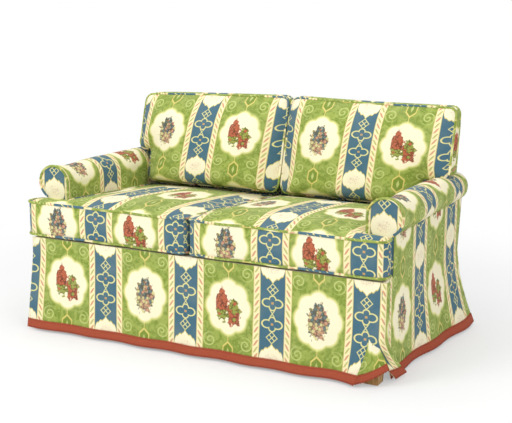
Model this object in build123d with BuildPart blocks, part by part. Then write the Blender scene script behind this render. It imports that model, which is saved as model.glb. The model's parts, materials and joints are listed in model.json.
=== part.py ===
"""Two-seat skirted sofa with set-back rolled arms, loose seat cushions and loose back cushions.

Frame: +X to the viewer's right, +Y from the front to the back, +Z up, origin on the floor
below the middle of the bounding box. Left and right are the viewer's. Millimetres.
"""

import os
from math import cos, radians, sin, sqrt, tan

from build123d import *

os.makedirs("parts", exist_ok=True)

# Cloth, cord and clearances
cloth = 2.0  # thickness of a cover
clear = 0.3  # gap between neighbouring pieces
welt = 9.0  # diameter of a piping cord

# Seat and arms
seat_width = 1176.0  # between the arms
seat_depth = 696.0  # front to back of a seat cushion
seat_border = 120.0  # height of the seat cushion's border, seam to seam
seat_crown = 26.0
arm_width = 92.0  # shaft of the arm, below the roll
arm_height = 604.0
roll_radius = 62.0
arm_setback = 95.0  # from the cushions' front to the arms' front
cushion_overhang = 6.0  # of the seat cushions over the front skirt
lug_overhang = 1.0  # of a seat cushion's lug over the side of the sofa

# Back
back_rake = 9.4  # degrees
back_height = 752.0  # top of the upholstered back
back_pad_thickness = 35.0
cushion_top = 832.0  # top of the back cushions
back_border = 72.0  # width of the back cushion's border, seam to seam
back_crown = 80.0
back_cushion_reach = 664.0  # from the middle of the sofa to the end of a cushion's lug

# Hardwood frame
rail_thickness = 28.0
rail_height = 120.0
back_rail_thickness = 22.0
post_width = 46.0
post_depth = 45.0
arm_post_depth = 70.0
arm_rail_width = 76.0
arm_rail_height = 36.0
arm_rail_rounding = 10.0
stuffing_rail_width = 24.0
stuffing_rail_height = 40.0
stuffing_rail_rise = 60.0  # above the seat platform
top_rail_height = 60.0
brace_width = 32.0
brace_height = 90.0
facing_board = 12.0
corner_block_leg = 75.0
corner_block_height = 60.0
dowel_diameter = 10.0
dowel_length = 40.0
dowel_spacing = 60.0
dowel_fit = 0.05  # radial gap round a dowel

# Suspension
spring_count = 9
spring_wire = 3.6
spring_bar = 22.0  # straight bar between two bends
spring_loops = 18
clip_width = 14.0
clip_length = 14.0
clip_height = 11.0
webbing_width = 50.0
webbing_thickness = 2.5
webbing_count = 8
hessian_thickness = 1.5
deck_pad_thickness = 45.0
dust_cloth = 1.0

# Feet
foot_height = 167.0
foot_top = 62.0
foot_bottom = 48.0
foot_inset = 5.0  # from the faces of the rails
glide_radius = 12.0
glide_height = 5.0
glide_stem_radius = 1.5
glide_stem = 14.0
bolt_radius = 4.0
bolt_length = 70.0
bolt_in_foot = 35.0
bolt_fit = 0.1
bolt_from_rail = 20.0

# Skirt
hem_height = 10.0  # above the floor
front_flare = 14.0
side_flare = 26.0
back_flare = 40.0
fold_depth = 7.0
front_folds = 7
side_folds = 5
back_folds = 7
braid_height = 32.0
braid_thickness = 3.0
pleat_leg = 70.0
corner_gap = 6.0  # open slit between two skirts at a corner
fold_block = 120.0  # depth of the block that a folded cloth is cut from

# Arm facings
facing_thickness = 5.0

# Cushions
corner_radius = 10.0
draw_in = 4.0  # how far a free side pulls in between its corners
seam_drop = 10.0  # from a cushion's flat face to its seam
face_inset = 8.0  # of that flat face from the seam
cushion_gap = 1.2  # from a cushion to what is beside it
front_share = 0.13  # a seat cushion's full front edge takes only this share of a crown's inset
flat_lug = (1.0, 0.75)  # shares of the lug's reach and length on the flat face
# Crowns: share of the rise, inset, and shares of the lug's reach and of its length
crown_steps = ((0.46, 16.0, 0.60, 0.66), (0.80, 66.0, 0.30, 0.55), (1.0, 140.0, 0.25, 0.40))
back_crown_steps = ((0.50, 22.0, 0.80, 0.80), (0.84, 62.0, 0.60, 0.60), (1.0, 105.0, 0.46, 0.24))
zip_length = 420.0
zip_width = 12.0
zip_thickness = 1.6
slider_length = 14.0
slider_width = 9.0
slider_thickness = 3.6
pull_length = 22.0
pull_width = 6.0
pull_thickness = 1.2

# Heights
rail_bottom = glide_height + foot_height
rail_top = rail_bottom + rail_height
spring_z = rail_top + clip_height / 2
hessian_z = rail_top + clip_height + clear
deck_pad_z = hessian_z + hessian_thickness + clear
platform = deck_pad_z + deck_pad_thickness + clear + cloth
skirt_top = rail_top
roll_z = arm_height - roll_radius
arm_rail_z = roll_z - arm_rail_height / 2
seat_bottom = platform + clear
seat_lower_seam = seat_bottom + seam_drop
seat_upper_seam = seat_lower_seam + seat_border
seat_top = seat_upper_seam + seat_crown

# Widths, measured from the middle
arm_inner = seat_width / 2
arm_outer = arm_inner + arm_width
roll_x = arm_inner + roll_radius
rail_outer = arm_outer - cloth - clear
rail_inner = rail_outer - rail_thickness
post_inner = rail_inner - post_width
side_top = roll_z - sqrt(roll_radius**2 - (arm_outer - cloth - roll_x) ** 2) - clear
side_hem = arm_outer + side_flare

# Depths: the origin is midway between the braid in front and the top of the back
rake = radians(back_rake)
pad_front = -cloth - clear
pad_back = pad_front - back_pad_thickness
webbing_back = pad_back - clear - webbing_thickness
post_front = webbing_back
post_back = post_front - post_depth
outside_front = post_back - clear
outside_back = outside_front - cloth
front_reach = front_flare + fold_depth + clear + braid_thickness
seat_reach = seat_depth + 2 * clear - cushion_overhang
back_reach = (back_height - platform) * tan(rake) - outside_back / cos(rake)
overall_depth = front_reach + seat_reach + back_reach
border_y = front_reach - overall_depth / 2  # outer face of the front skirt at its top
cushion_front = border_y - cushion_overhang
arm_front = cushion_front + arm_setback
seat_back = border_y + seat_reach  # inside back at the platform
front_rail_y = border_y + cloth + clear
front_rail_back = front_rail_y + rail_thickness
arm_body = arm_front + facing_thickness + clear
arm_frame = arm_body + facing_board + clear


def back_y(height, normal):
    """Y of a point of the raked back at a height, a distance in front of the inside back."""
    return seat_back + (height - platform) * tan(rake) - normal / cos(rake)


def along_back(height, normal):
    """Distance up the raked back of a point at a height, a distance in front of the inside back."""
    return (height - platform - normal * sin(rake)) / cos(rake)


raked = Plane(origin=(0, seat_back, platform), x_dir=(1, 0, 0), z_dir=(0, -cos(rake), sin(rake)))
back_rail_y = back_y(rail_bottom, post_back) - back_rail_thickness  # front of the back rail


def save(part, label):
    """Labels a finished piece and writes it."""
    part.label = label
    export_step(part, f"parts/{label}.step")


def save_pair(part, label):
    """Writes a right-hand piece and its mirror image."""
    save(part, f"{label}_right")
    save(part.mirror(Plane.YZ), f"{label}_left")


def box_between(low, high):
    """A block between two corners, each (x, y, z)."""
    with BuildPart() as block:
        with BuildSketch(Plane.XY.offset(low[2])):
            with Locations(((low[0] + high[0]) / 2, (low[1] + high[1]) / 2)):
                Rectangle(high[0] - low[0], high[1] - low[1])
        extrude(amount=high[2] - low[2])
    return block.part


def raked_bar(x_low, x_high, z_low, z_high, w_back, w_front):
    """A bar of the raked back with level ends, between two offsets from the inside back."""
    with BuildPart() as bar:
        with BuildSketch(Plane.YZ.offset(x_low)):
            with BuildLine():
                Polyline(
                    (back_y(z_low, w_front), z_low),
                    (back_y(z_low, w_back), z_low),
                    (back_y(z_high, w_back), z_high),
                    (back_y(z_high, w_front), z_high),
                    close=True,
                )
            make_face()
        extrude(amount=x_high - x_low)
    return bar.part


# Dowels: two at each end of the front rail, of the back rail and of the back's top rail
rail_middle = rail_bottom + rail_height / 2
dowel_z = (rail_middle - dowel_spacing / 2, rail_middle + dowel_spacing / 2)
side_rail_dowel_x = (rail_inner + rail_outer) / 2
back_rail_dowel_y = back_rail_y + back_rail_thickness / 2
top_dowel_z = back_height - top_rail_height / 2
top_dowel_y = back_y(top_dowel_z, (post_front + post_back) / 2)


def dowel_holes(along_x, along_y):
    """Cylinders for the dowels of one right-hand corner: lists of (x, y, z) for each direction."""
    with BuildPart() as pegs:
        for x, y, z in along_x:
            with Locations(Location((x, y, z), (0, 90, 0))):
                Cylinder(dowel_diameter / 2, dowel_length)
        for x, y, z in along_y:
            with Locations(Location((x, y, z), (90, 0, 0))):
                Cylinder(dowel_diameter / 2, dowel_length)
    return pegs.part


front_dowels = [(side_rail_dowel_x, front_rail_back, z) for z in dowel_z]
back_dowels = [(post_inner, back_rail_dowel_y, z) for z in dowel_z]
top_dowels = [(post_inner, top_dowel_y, top_dowel_z)]


def bore(points, direction):
    """Cuts dowel holes into the current part on both sides of the middle."""
    turn = (0, 90, 0) if direction == "x" else (90, 0, 0)
    for x, y, z in points:
        for side in (-1, 1):
            with Locations(Location((side * x, y, z), turn)):
                Cylinder(dowel_diameter / 2 + dowel_fit, dowel_length + 2 * clear, mode=Mode.SUBTRACT)


# Seat frame
with BuildPart() as front_rail:
    add(box_between((-rail_outer, front_rail_y, rail_bottom), (rail_outer, front_rail_back, rail_top)))
    bore(front_dowels, "y")
save(front_rail.part, "front_rail")

with BuildPart() as back_rail:
    add(
        box_between(
            (-post_inner, back_rail_y, rail_bottom),
            (post_inner, back_rail_y + back_rail_thickness, rail_top),
        )
    )
    bore(back_dowels, "x")
save(back_rail.part, "back_rail")

side_rail_end = back_y(rail_bottom, post_back)
with BuildPart() as side_rail:
    add(box_between((rail_inner, front_rail_back, rail_bottom), (rail_outer, side_rail_end, rail_top)))
    bore(front_dowels, "y")
save_pair(side_rail.part, "side_rail")

brace_z = rail_bottom + (rail_height - brace_height) / 3
seat_brace = box_between(
    (-brace_width / 2, front_rail_back, brace_z),
    (brace_width / 2, back_rail_y, brace_z + brace_height),
)
save(seat_brace, "seat_brace")

# Bolts of the feet: up into the front corner blocks and into the ends of the back posts
bolt_front = (rail_inner - bolt_from_rail, front_rail_back + bolt_from_rail)
bolt_back = ((post_inner + rail_inner) / 2, back_y(rail_bottom, (post_front + post_back) / 2))


def bolt_hole(point, depth):
    """Cuts a bolt hole up from the underside of the rails, on both sides of the middle."""
    for side in (-1, 1):
        with Locations((side * point[0], point[1], rail_bottom + depth / 2)):
            Cylinder(bolt_radius + bolt_fit, depth, mode=Mode.SUBTRACT)


# Triangular blocks glued into the corners of the seat frame
def corner_block(corner_x, corner_y, toward_back):
    """A right-hand corner block."""
    with BuildPart() as block:
        with BuildSketch(Plane.XY.offset(rail_bottom)):
            with BuildLine():
                Polyline(
                    (corner_x, corner_y),
                    (corner_x - corner_block_leg, corner_y),
                    (corner_x, corner_y + toward_back * corner_block_leg),
                    close=True,
                )
            make_face()
        extrude(amount=corner_block_height)
    return block.part


with BuildPart() as corner_blocks:
    for block in (
        corner_block(rail_inner, front_rail_back, 1),
        corner_block(post_inner, back_rail_y, -1),
    ):
        add(block)
        add(block.mirror(Plane.YZ))
    bolt_hole(bolt_front, corner_block_height)
save(corner_blocks.part, "corner_blocks")

# Back frame: raked posts, top rail, stuffing rail and a middle upright
with BuildPart() as back_post:
    add(raked_bar(post_inner, rail_inner, rail_bottom, back_height - cloth - clear, post_back, post_front))
    bore(back_dowels, "x")
    bore(top_dowels, "x")
    bolt_hole(bolt_back, bolt_length - bolt_in_foot + clear)
save_pair(back_post.part, "back_post")

top_rail_z = back_height - cloth - clear - top_rail_height
with BuildPart() as back_top_rail:
    add(raked_bar(-post_inner, post_inner, top_rail_z, top_rail_z + top_rail_height, post_back, post_front))
    bore(top_dowels, "x")
save(back_top_rail.part, "back_top_rail")

stuffing_z = platform + stuffing_rail_rise
stuffing_top = stuffing_z + stuffing_rail_height
back_stuffing_rail = raked_bar(-post_inner, post_inner, stuffing_z, stuffing_top, post_back, post_front)
save(back_stuffing_rail, "back_stuffing_rail")

half_post = post_width / 2
back_centre_post = raked_bar(-half_post, half_post, stuffing_top, top_rail_z, post_back, post_front)
save(back_centre_post, "back_centre_post")

# Arm frame: front post, roll rail and stuffing rail, which stop at the raked back post
arm_post_back = arm_frame + arm_post_depth
arm_post = box_between((post_inner, arm_frame, rail_bottom), (rail_inner, arm_post_back, arm_rail_z))
with BuildPart() as arm_posts:
    add(arm_post)
    add(arm_post.mirror(Plane.YZ))
save(arm_posts.part, "arm_posts")

raked_post_face = raked.offset(post_front)
far_back = back_y(arm_height, outside_back)

with BuildPart() as arm_top_rail:
    with BuildSketch(Plane.XZ.offset(-arm_frame)):
        with Locations((roll_x, roll_z)):
            RectangleRounded(arm_rail_width, arm_rail_height, arm_rail_rounding)
    extrude(amount=arm_frame - far_back)
    split(bisect_by=raked_post_face, keep=Keep.TOP)
with BuildPart() as arm_top_rails:
    add(arm_top_rail.part)
    add(arm_top_rail.part.mirror(Plane.YZ))
save(arm_top_rails.part, "arm_top_rails")

with BuildPart() as arm_stuffing_rail:
    add(
        box_between(
            (rail_inner - stuffing_rail_width, arm_post_back, stuffing_z),
            (rail_inner, far_back, stuffing_top),
        )
    )
    split(bisect_by=raked_post_face, keep=Keep.TOP)
with BuildPart() as arm_stuffing_rails:
    add(arm_stuffing_rail.part)
    add(arm_stuffing_rail.part.mirror(Plane.YZ))
save(arm_stuffing_rails.part, "arm_stuffing_rails")

with BuildPart() as frame_dowels:
    for peg in (dowel_holes([], front_dowels), dowel_holes(back_dowels + top_dowels, [])):
        add(peg)
        add(peg.mirror(Plane.YZ))
save(frame_dowels.part, "frame_dowels")


# Feet, each with a hanger bolt and a nail-on glide
foot_x = rail_outer - foot_inset - foot_top / 2
foot_front_y = front_rail_y + foot_inset + foot_top / 2
foot_back_y = side_rail_end - foot_inset - foot_top / 2


def foot_pieces(foot_y, bolt_at):
    """A tapered right-hand foot, its glide and its bolt."""
    bolt_x, bolt_y = bolt_at
    with BuildPart() as leg:
        with BuildSketch(Plane.XY.offset(glide_height)):
            with Locations((foot_x, foot_y)):
                Rectangle(foot_bottom, foot_bottom)
        with BuildSketch(Plane.XY.offset(rail_bottom)):
            with Locations((foot_x, foot_y)):
                Rectangle(foot_top, foot_top)
        loft(ruled=True)
        with Locations((bolt_x, bolt_y, rail_bottom - (bolt_in_foot + clear) / 2)):
            Cylinder(bolt_radius + bolt_fit, bolt_in_foot + clear, mode=Mode.SUBTRACT)
        with Locations((foot_x, foot_y, glide_height + glide_stem / 2)):
            Cylinder(glide_stem_radius + bolt_fit, glide_stem, mode=Mode.SUBTRACT)
    with BuildPart() as glide:
        with BuildSketch():
            with Locations((foot_x, foot_y)):
                Circle(glide_radius)
        extrude(amount=glide_height)
        with Locations((foot_x, foot_y, glide_height + glide_stem / 2 - clear)):
            Cylinder(glide_stem_radius, glide_stem - 2 * clear)
    with BuildPart() as bolt:
        with Locations((bolt_x, bolt_y, rail_bottom - bolt_in_foot + bolt_length / 2)):
            Cylinder(bolt_radius, bolt_length)
    return leg.part, glide.part, bolt.part


glides = []
bolts = []
for end, foot_y, bolt_at in (("front", foot_front_y, bolt_front), ("back", foot_back_y, bolt_back)):
    leg, glide, bolt = foot_pieces(foot_y, bolt_at)
    save_pair(leg, f"foot_{end}")
    glides.append(glide)
    bolts.append(bolt)

with BuildPart() as foot_glides:
    for glide in glides:
        add(glide)
        add(glide.mirror(Plane.YZ))
save(foot_glides.part, "foot_glides")

with BuildPart() as foot_bolts:
    for bolt in bolts:
        add(bolt)
        add(bolt.mirror(Plane.YZ))
save(foot_bolts.part, "foot_bolts")

# Zigzag seat springs from the front rail to the back rail, in clips
spring_start = front_rail_y + rail_thickness / 2
spring_end = back_rail_y + back_rail_thickness / 2
spring_pitch = (spring_end - spring_start) / spring_loops
spring_span = 2 * arm_inner / spring_count
half_bar = spring_bar / 2


def spring_path(x):
    """One zigzag spring: level bars joined by half turns."""
    with BuildLine(Plane.XY.offset(spring_z)) as path:
        for loop in range(spring_loops + 1):
            y = spring_start + loop * spring_pitch
            side = 1 if loop % 2 == 0 else -1
            Line((x - side * half_bar, y), (x + side * half_bar, y))
            if loop < spring_loops:
                ThreePointArc(
                    (x + side * half_bar, y),
                    (x + side * (half_bar + spring_pitch / 2), y + spring_pitch / 2),
                    (x + side * half_bar, y + spring_pitch),
                )
    return path.wire()


spring_xs = [(index - (spring_count - 1) / 2) * spring_span for index in range(spring_count)]
with BuildPart() as seat_springs:
    for x in spring_xs:
        wire = spring_path(x)
        with BuildSketch(Plane(wire @ 0, z_dir=wire % 0)):
            Circle(spring_wire / 2)
        sweep(path=wire)
save(seat_springs.part, "seat_springs")

with BuildPart() as spring_clips:
    for y in (spring_start, spring_end):
        for x in spring_xs:
            with Locations((x, y, rail_top + clip_height / 2)):
                Box(clip_width, clip_length, clip_height)
            with Locations(Location((x, y, spring_z), (0, 90, 0))):
                Cylinder(spring_wire / 2 + dowel_fit, clip_width, mode=Mode.SUBTRACT)
save(spring_clips.part, "spring_clips")

# Upright webbing on the front of the back frame, from the stuffing rail to the top rail
webbing_span = 2 * post_inner / webbing_count
with BuildPart() as back_webbing:
    for index in range(webbing_count):
        middle = (index - (webbing_count - 1) / 2) * webbing_span
        add(
            raked_bar(
                middle - webbing_width / 2,
                middle + webbing_width / 2,
                stuffing_z,
                top_rail_z + top_rail_height,
                webbing_back,
                webbing_back + webbing_thickness,
            )
        )
save(back_webbing.part, "back_webbing")

# Seat platform: hessian, wadding and cloth, wider in front of the arms than between them
deck_front = front_rail_y
deck_back = back_y(hessian_z, 0) - clear
deck_step = arm_front - clear


def deck_layer(bottom, thickness):
    """A layer of the platform in its T-shaped plan."""
    wide = rail_outer
    narrow = arm_inner - clear
    with BuildPart() as layer:
        with BuildSketch(Plane.XY.offset(bottom)):
            with BuildLine():
                Polyline(
                    (-wide, deck_front),
                    (wide, deck_front),
                    (wide, deck_step),
                    (narrow, deck_step),
                    (narrow, deck_back),
                    (-narrow, deck_back),
                    (-narrow, deck_step),
                    (-wide, deck_step),
                    close=True,
                )
            make_face()
        extrude(amount=thickness)
    return layer.part


save(deck_layer(hessian_z, hessian_thickness), "seat_hessian")
save(deck_layer(deck_pad_z, deck_pad_thickness), "deck_pad")
save(deck_layer(platform - cloth, cloth), "deck_cover")

with BuildPart() as dust_cover:
    add(
        box_between(
            (-rail_outer, front_rail_y, rail_bottom - dust_cloth),
            (rail_outer, side_rail_end, rail_bottom),
        )
    )
    for y in (foot_front_y, foot_back_y):
        for side in (-1, 1):
            with Locations((side * foot_x, y, rail_bottom - dust_cloth / 2)):
                Box(foot_top + 2 * clear, foot_top + 2 * clear, 2 * dust_cloth, mode=Mode.SUBTRACT)
save(dust_cover.part, "dust_cover")


# Arms: padding, inside cover over the roll, facing board, facing and its piping
def arm_profile(shrink, bottom, past_roll):
    """Face of the arm in the XZ plane, drawn in by a distance: shaft and roll."""
    radius = roll_radius - shrink
    with BuildSketch(Plane.XZ) as profile:
        with Locations((roll_x, roll_z)):
            Circle(radius)
        with Locations(((arm_inner + past_roll) / 2 + shrink / 2, (bottom + roll_z) / 2)):
            Rectangle(past_roll - arm_inner - shrink, roll_z - bottom)
    return profile.sketch


def arm_slab(sketch, y_front, y_back):
    """A right-hand arm section pulled from one depth to another."""
    with BuildPart() as slab:
        with BuildSketch(Plane.XZ.offset(-y_front)):
            add(sketch)
        extrude(amount=y_front - y_back)
    return slab.part


arm_bottom = hessian_z
cavity_x = post_inner - clear
arm_end = back_y(arm_height, outside_front)


def cut_for_back(part):
    """Cuts a right-hand arm piece back from the raked post and from the plane of the outside back."""
    reach = 2 * arm_height
    with BuildPart() as notch:
        with BuildSketch(raked.offset(post_front + clear)):
            with Locations(((post_inner + rail_inner) / 2 - reach / 4 + post_width / 2, 0)):
                Rectangle(reach / 2 + 2 * clear, reach)
        extrude(amount=-(post_depth + reach))
    with BuildPart() as kept:
        add(part)
        add(notch.part, mode=Mode.SUBTRACT)
        split(bisect_by=raked.offset(outside_front), keep=Keep.TOP)
    return kept.part


with BuildPart() as arm_pad:
    add(arm_slab(arm_profile(cloth + clear, arm_bottom, cavity_x), arm_frame, arm_end))
    add(
        box_between((cavity_x, arm_frame, arm_bottom), (arm_outer + roll_radius, arm_end, arm_rail_z)),
        mode=Mode.SUBTRACT,
    )
    with BuildSketch(Plane.XZ.offset(-arm_frame)):
        with Locations((roll_x, roll_z)):
            RectangleRounded(
                arm_rail_width + 2 * clear, arm_rail_height + 2 * clear, arm_rail_rounding + clear
            )
    extrude(amount=arm_frame - arm_end, mode=Mode.SUBTRACT)
save_pair(cut_for_back(arm_pad.part), "arm_pad")

with BuildPart() as inside_arm_cover:
    add(arm_slab(arm_profile(0, arm_bottom, roll_x), arm_body, arm_end))
    add(arm_slab(arm_profile(cloth, arm_bottom, roll_x), arm_body, arm_end), mode=Mode.SUBTRACT)
    add(
        box_between((arm_inner + cloth, arm_body, arm_bottom), (arm_outer, arm_end, roll_z)),
        mode=Mode.SUBTRACT,
    )
save_pair(cut_for_back(inside_arm_cover.part), "inside_arm_cover")

board = arm_slab(
    arm_profile(cloth + clear, platform + clear, rail_outer), arm_body, arm_body + facing_board
)
with BuildPart() as arm_facing_boards:
    add(board)
    add(board.mirror(Plane.YZ))
save(arm_facing_boards.part, "arm_facing_boards")

facing = arm_slab(
    arm_profile(0, platform + clear, arm_outer), arm_front, arm_front + facing_thickness
)
save_pair(facing, "arm_facing")

# Piping on the face of each arm, just inside its edge
facing_edge = welt / 2
tuck = sqrt((roll_radius - facing_edge) ** 2 - (arm_outer - facing_edge - roll_x) ** 2)
edge_x = arm_inner + facing_edge
roll_edge = roll_radius - facing_edge
with BuildPart() as facing_welt:
    with BuildLine(Plane.XZ.offset(-(arm_front - clear - welt / 2))) as edge:
        Line((edge_x, platform + welt), (edge_x, roll_z))
        ThreePointArc((edge_x, roll_z), (roll_x, roll_z + roll_edge), (roll_x + roll_edge, roll_z))
        ThreePointArc(
            (roll_x + roll_edge, roll_z),
            (roll_x + roll_edge * cos(radians(30)), roll_z - roll_edge * sin(radians(30))),
            (arm_outer - facing_edge, roll_z - tuck),
        )
    with BuildSketch(Plane(edge.wire() @ 0, z_dir=edge.wire() % 0)):
        Circle(welt / 2)
    sweep(path=edge.wire())
with BuildPart() as arm_facing_welts:
    add(facing_welt.part)
    add(facing_welt.part.mirror(Plane.YZ))
save(arm_facing_welts.part, "arm_facing_welts")

# Fixed back: padding and inside cover, narrow between the arms and wide above them
back_bottom = hessian_z
over_arm = arm_height + clear
back_wide = rail_inner + clear + cloth
back_narrow = arm_inner - clear


def t_face(half_wide, half_narrow, w_back, w_front, bottom, step, top):
    """A slab of the raked back: narrow up to the arms' tops and wide above them."""
    with BuildPart() as slab:
        add(raked_bar(-half_narrow, half_narrow, bottom, step, w_back, w_front))
        add(raked_bar(-half_wide, half_wide, step, top, w_back, w_front))
    return slab.part


pad_top = back_height - cloth - clear
back_pad = t_face(rail_inner, back_narrow, pad_back, pad_front, back_bottom, over_arm + cloth, pad_top)
save(back_pad, "back_pad")

with BuildPart() as inside_back_cover:
    add(t_face(back_wide, back_narrow, -cloth, 0, back_bottom, over_arm, back_height))
    add(raked_bar(-back_wide, back_wide, back_height - cloth, back_height, outside_front, 0))
    for low, high in ((-back_wide, -back_wide + cloth), (back_wide - cloth, back_wide)):
        add(raked_bar(low, high, over_arm, back_height, outside_front, 0))
save(inside_back_cover.part, "inside_back_cover")


# Hanging cloth: straight along its top and folded along its hem
def fold_section(height, start, end, outward, folds, depth):
    """A deep outline at one height, with a folded line on its outer side."""
    first, last, out = Vector(*start), Vector(*end), Vector(*outward)
    points = [first + (last - first) * (index / folds) for index in range(folds + 1)]
    with BuildSketch(Plane.XY.offset(height)) as section:
        with BuildLine():
            for index, (low, high) in enumerate(zip(points, points[1:])):
                bulge = out * (depth if index % 2 == 0 else -depth)
                if depth:
                    ThreePointArc(low, (low + high) / 2 + bulge, high)
                else:
                    Line(low, high)
            Polyline(last, last - out * fold_block, first - out * fold_block, first)
        make_face()
    return section.sketch


def hanging_cloth(top, hem, outward, folds, inner, outer):
    """Cloth from the skirt's top to its hem, between two distances outside the folded surface."""
    with BuildPart() as block:
        add(fold_section(hem_height, *hem, outward, folds, fold_depth))
        add(fold_section(skirt_top, *top, outward, folds, 0))
        loft(ruled=True)
    out = Vector(*outward)
    with BuildPart() as panel:
        add(block.part.moved(Location(out * outer)))
        add(block.part.moved(Location(out * inner)), mode=Mode.SUBTRACT)
    return panel.part


def hem_braid(top, hem, outward, folds):
    """Braid sewn on the outside of a panel, along its hem."""
    with BuildPart() as braid:
        add(hanging_cloth(top, hem, outward, folds, clear, clear + braid_thickness))
        split(bisect_by=Plane.XY.offset(hem_height + braid_height), keep=Keep.BOTTOM)
    return braid.part


front_half = arm_outer - cloth - clear
back_hem_y = back_y(skirt_top, outside_back) + back_flare
back_top_y = back_y(skirt_top, outside_back)
front_top = ((-front_half, border_y), (front_half, border_y))
front_hem_half = side_hem - corner_gap
front_hem = ((-front_hem_half, border_y - front_flare), (front_hem_half, border_y - front_flare))
side_top_line = ((arm_outer, border_y), (arm_outer, back_top_y - cloth - clear))
side_hem_line = ((side_hem, border_y - front_flare + corner_gap), (side_hem, back_hem_y - corner_gap))
back_top_line = ((arm_outer, back_top_y), (-arm_outer, back_top_y))
back_hem_line = ((front_hem_half, back_hem_y), (-front_hem_half, back_hem_y))

with BuildPart() as front_skirt:
    add(box_between((-front_half, border_y, skirt_top), (front_half, border_y + cloth, platform)))
    add(hanging_cloth(front_top, front_hem, (0, -1), front_folds, -cloth, 0))
save(front_skirt.part, "front_skirt")

with BuildPart() as outside_arm_cover:
    with BuildSketch(Plane.YZ.offset(arm_outer - cloth)):
        with BuildLine():
            Polyline(
                (border_y, skirt_top),
                (back_y(skirt_top, outside_front) - clear, skirt_top),
                (back_y(side_top, outside_front) - clear, side_top),
                (arm_body, side_top),
                (arm_body, platform),
                (border_y, platform),
                close=True,
            )
        make_face()
    extrude(amount=cloth)
    add(hanging_cloth(side_top_line, side_hem_line, (1, 0), side_folds, -cloth, 0))
save_pair(outside_arm_cover.part, "outside_arm_cover")

with BuildPart() as outside_back_cover:
    add(raked_bar(-arm_outer, arm_outer, skirt_top, over_arm, outside_back, outside_front))
    add(raked_bar(-back_wide, back_wide, over_arm, back_height, outside_back, outside_front))
    add(hanging_cloth(back_top_line, back_hem_line, (0, 1), back_folds, -cloth, 0))
save(outside_back_cover.part, "outside_back_cover")

with BuildPart() as skirt_braid:
    add(hem_braid(front_top, front_hem, (0, -1), front_folds))
    side_braid = hem_braid(side_top_line, side_hem_line, (1, 0), side_folds)
    add(side_braid)
    add(side_braid.mirror(Plane.YZ))
    add(hem_braid(back_top_line, back_hem_line, (0, 1), back_folds))
save(skirt_braid.part, "skirt_braid")


# Kick pleats: an L of cloth behind the slit at each corner, below the rails
def pleat_section(height, front_y, flare_y, toward_back):
    """The L in plan at one height, a clearance inside the two skirts."""
    share = (skirt_top - height) / (skirt_top - hem_height)
    x = arm_outer + side_flare * share - cloth - clear
    y = front_y - toward_back * (flare_y * share - cloth - clear)
    leg = pleat_leg * toward_back
    with BuildSketch(Plane.XY.offset(height)) as section:
        with BuildLine():
            Polyline(
                (x, y),
                (x - pleat_leg, y),
                (x - pleat_leg, y + toward_back * cloth),
                (x - cloth, y + toward_back * cloth),
                (x - cloth, y + leg),
                (x, y + leg),
                close=True,
            )
        make_face()
    return section.sketch


def pleat(corner_y, flare, toward_back):
    """One right-hand kick pleat, from just above the hem to just below the rails."""
    with BuildPart() as fold:
        add(pleat_section(hem_height + clear, corner_y, flare, toward_back))
        add(pleat_section(rail_bottom - dust_cloth - clear, corner_y, flare, toward_back))
        loft(ruled=True)
    return fold.part


with BuildPart() as corner_pleats:
    for fold in (pleat(border_y, front_flare, 1), pleat(back_top_y, back_flare, -1)):
        add(fold)
        add(fold.mirror(Plane.YZ))
save(corner_pleats.part, "corner_pleats")


# Loose cushions: an L in plan, drawn in along its free sides and crowned on its face
def cushion_face(plane, corners, pulls):
    """Rounded outline through six corners, each side pulled in by its own depth."""
    with BuildSketch(plane) as face:
        with BuildLine():
            for low, high, pull in zip(corners, corners[1:] + corners[:1], pulls):
                first, last = Vector(*low), Vector(*high)
                if pull:
                    side = (last - first).normalized()
                    inward = Vector(-side.Y, side.X)
                    ThreePointArc(first, (first + last) / 2 + inward * pull, last)
                else:
                    Line(first, last)
        make_face()
        fillet(face.vertices(), corner_radius)
    return face.sketch


def lofted(sections):
    """A solid through faces given in order."""
    with BuildPart() as form:
        for section in sections:
            add(section)
        loft(ruled=True)
    return form.part


def piping(outline):
    """Piping cord along the outer wire of an outline."""
    wire = outline.faces()[0].outer_wire()
    with BuildPart() as cord:
        with BuildSketch(Plane(wire @ 0, z_dir=wire % 0)):
            Circle(welt / 2)
        sweep(path=wire)
    return cord.part


rim = welt + clear  # room for the piping outside the cover
cord_out = welt / 2 + clear  # from a cover's seam to the middle of its piping
seat_x_low = cushion_gap + rim
seat_x_high = arm_inner - cushion_gap - rim
seat_y_low = cushion_front + rim
seat_y_high = cushion_front + seat_depth - rim
lug_x = arm_outer + lug_overhang - rim
lug_y = arm_front - welt - 2 * clear - cushion_gap - rim
seat_pulls = (draw_in, draw_in, 0, 0, draw_in, 0)


def seat_outline(height, inset, reach, length, shrink):
    """Outline of the right seat cushion at one height, with shares of its lug, drawn in by a distance."""
    left, right = seat_x_low + inset + shrink, seat_x_high - inset - shrink
    front, back = seat_y_low + inset * front_share + shrink, seat_y_high - inset - shrink
    lug_right = seat_x_high - inset + (lug_x - seat_x_high) * reach - shrink
    lug_back = seat_y_low + inset * front_share + (lug_y - seat_y_low) * length - shrink
    corners = [
        (left, back),
        (left, front),
        (lug_right, front),
        (lug_right, lug_back),
        (right, lug_back),
        (right, back),
    ]
    return cushion_face(Plane.XY.offset(height), corners, seat_pulls)


def seat_form(shrink):
    """The right seat cushion, drawn in all round by a distance."""
    sections = [
        seat_outline(seat_bottom + shrink, face_inset, *flat_lug, shrink),
        seat_outline(seat_lower_seam, 0, 1, 1, shrink),
        seat_outline(seat_upper_seam, 0, 1, 1, shrink),
    ]
    for rise, inset, reach, length in crown_steps:
        height = seat_upper_seam + seat_crown * rise - shrink
        sections.append(seat_outline(height, inset, reach, length, shrink))
    return lofted(sections)


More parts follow.
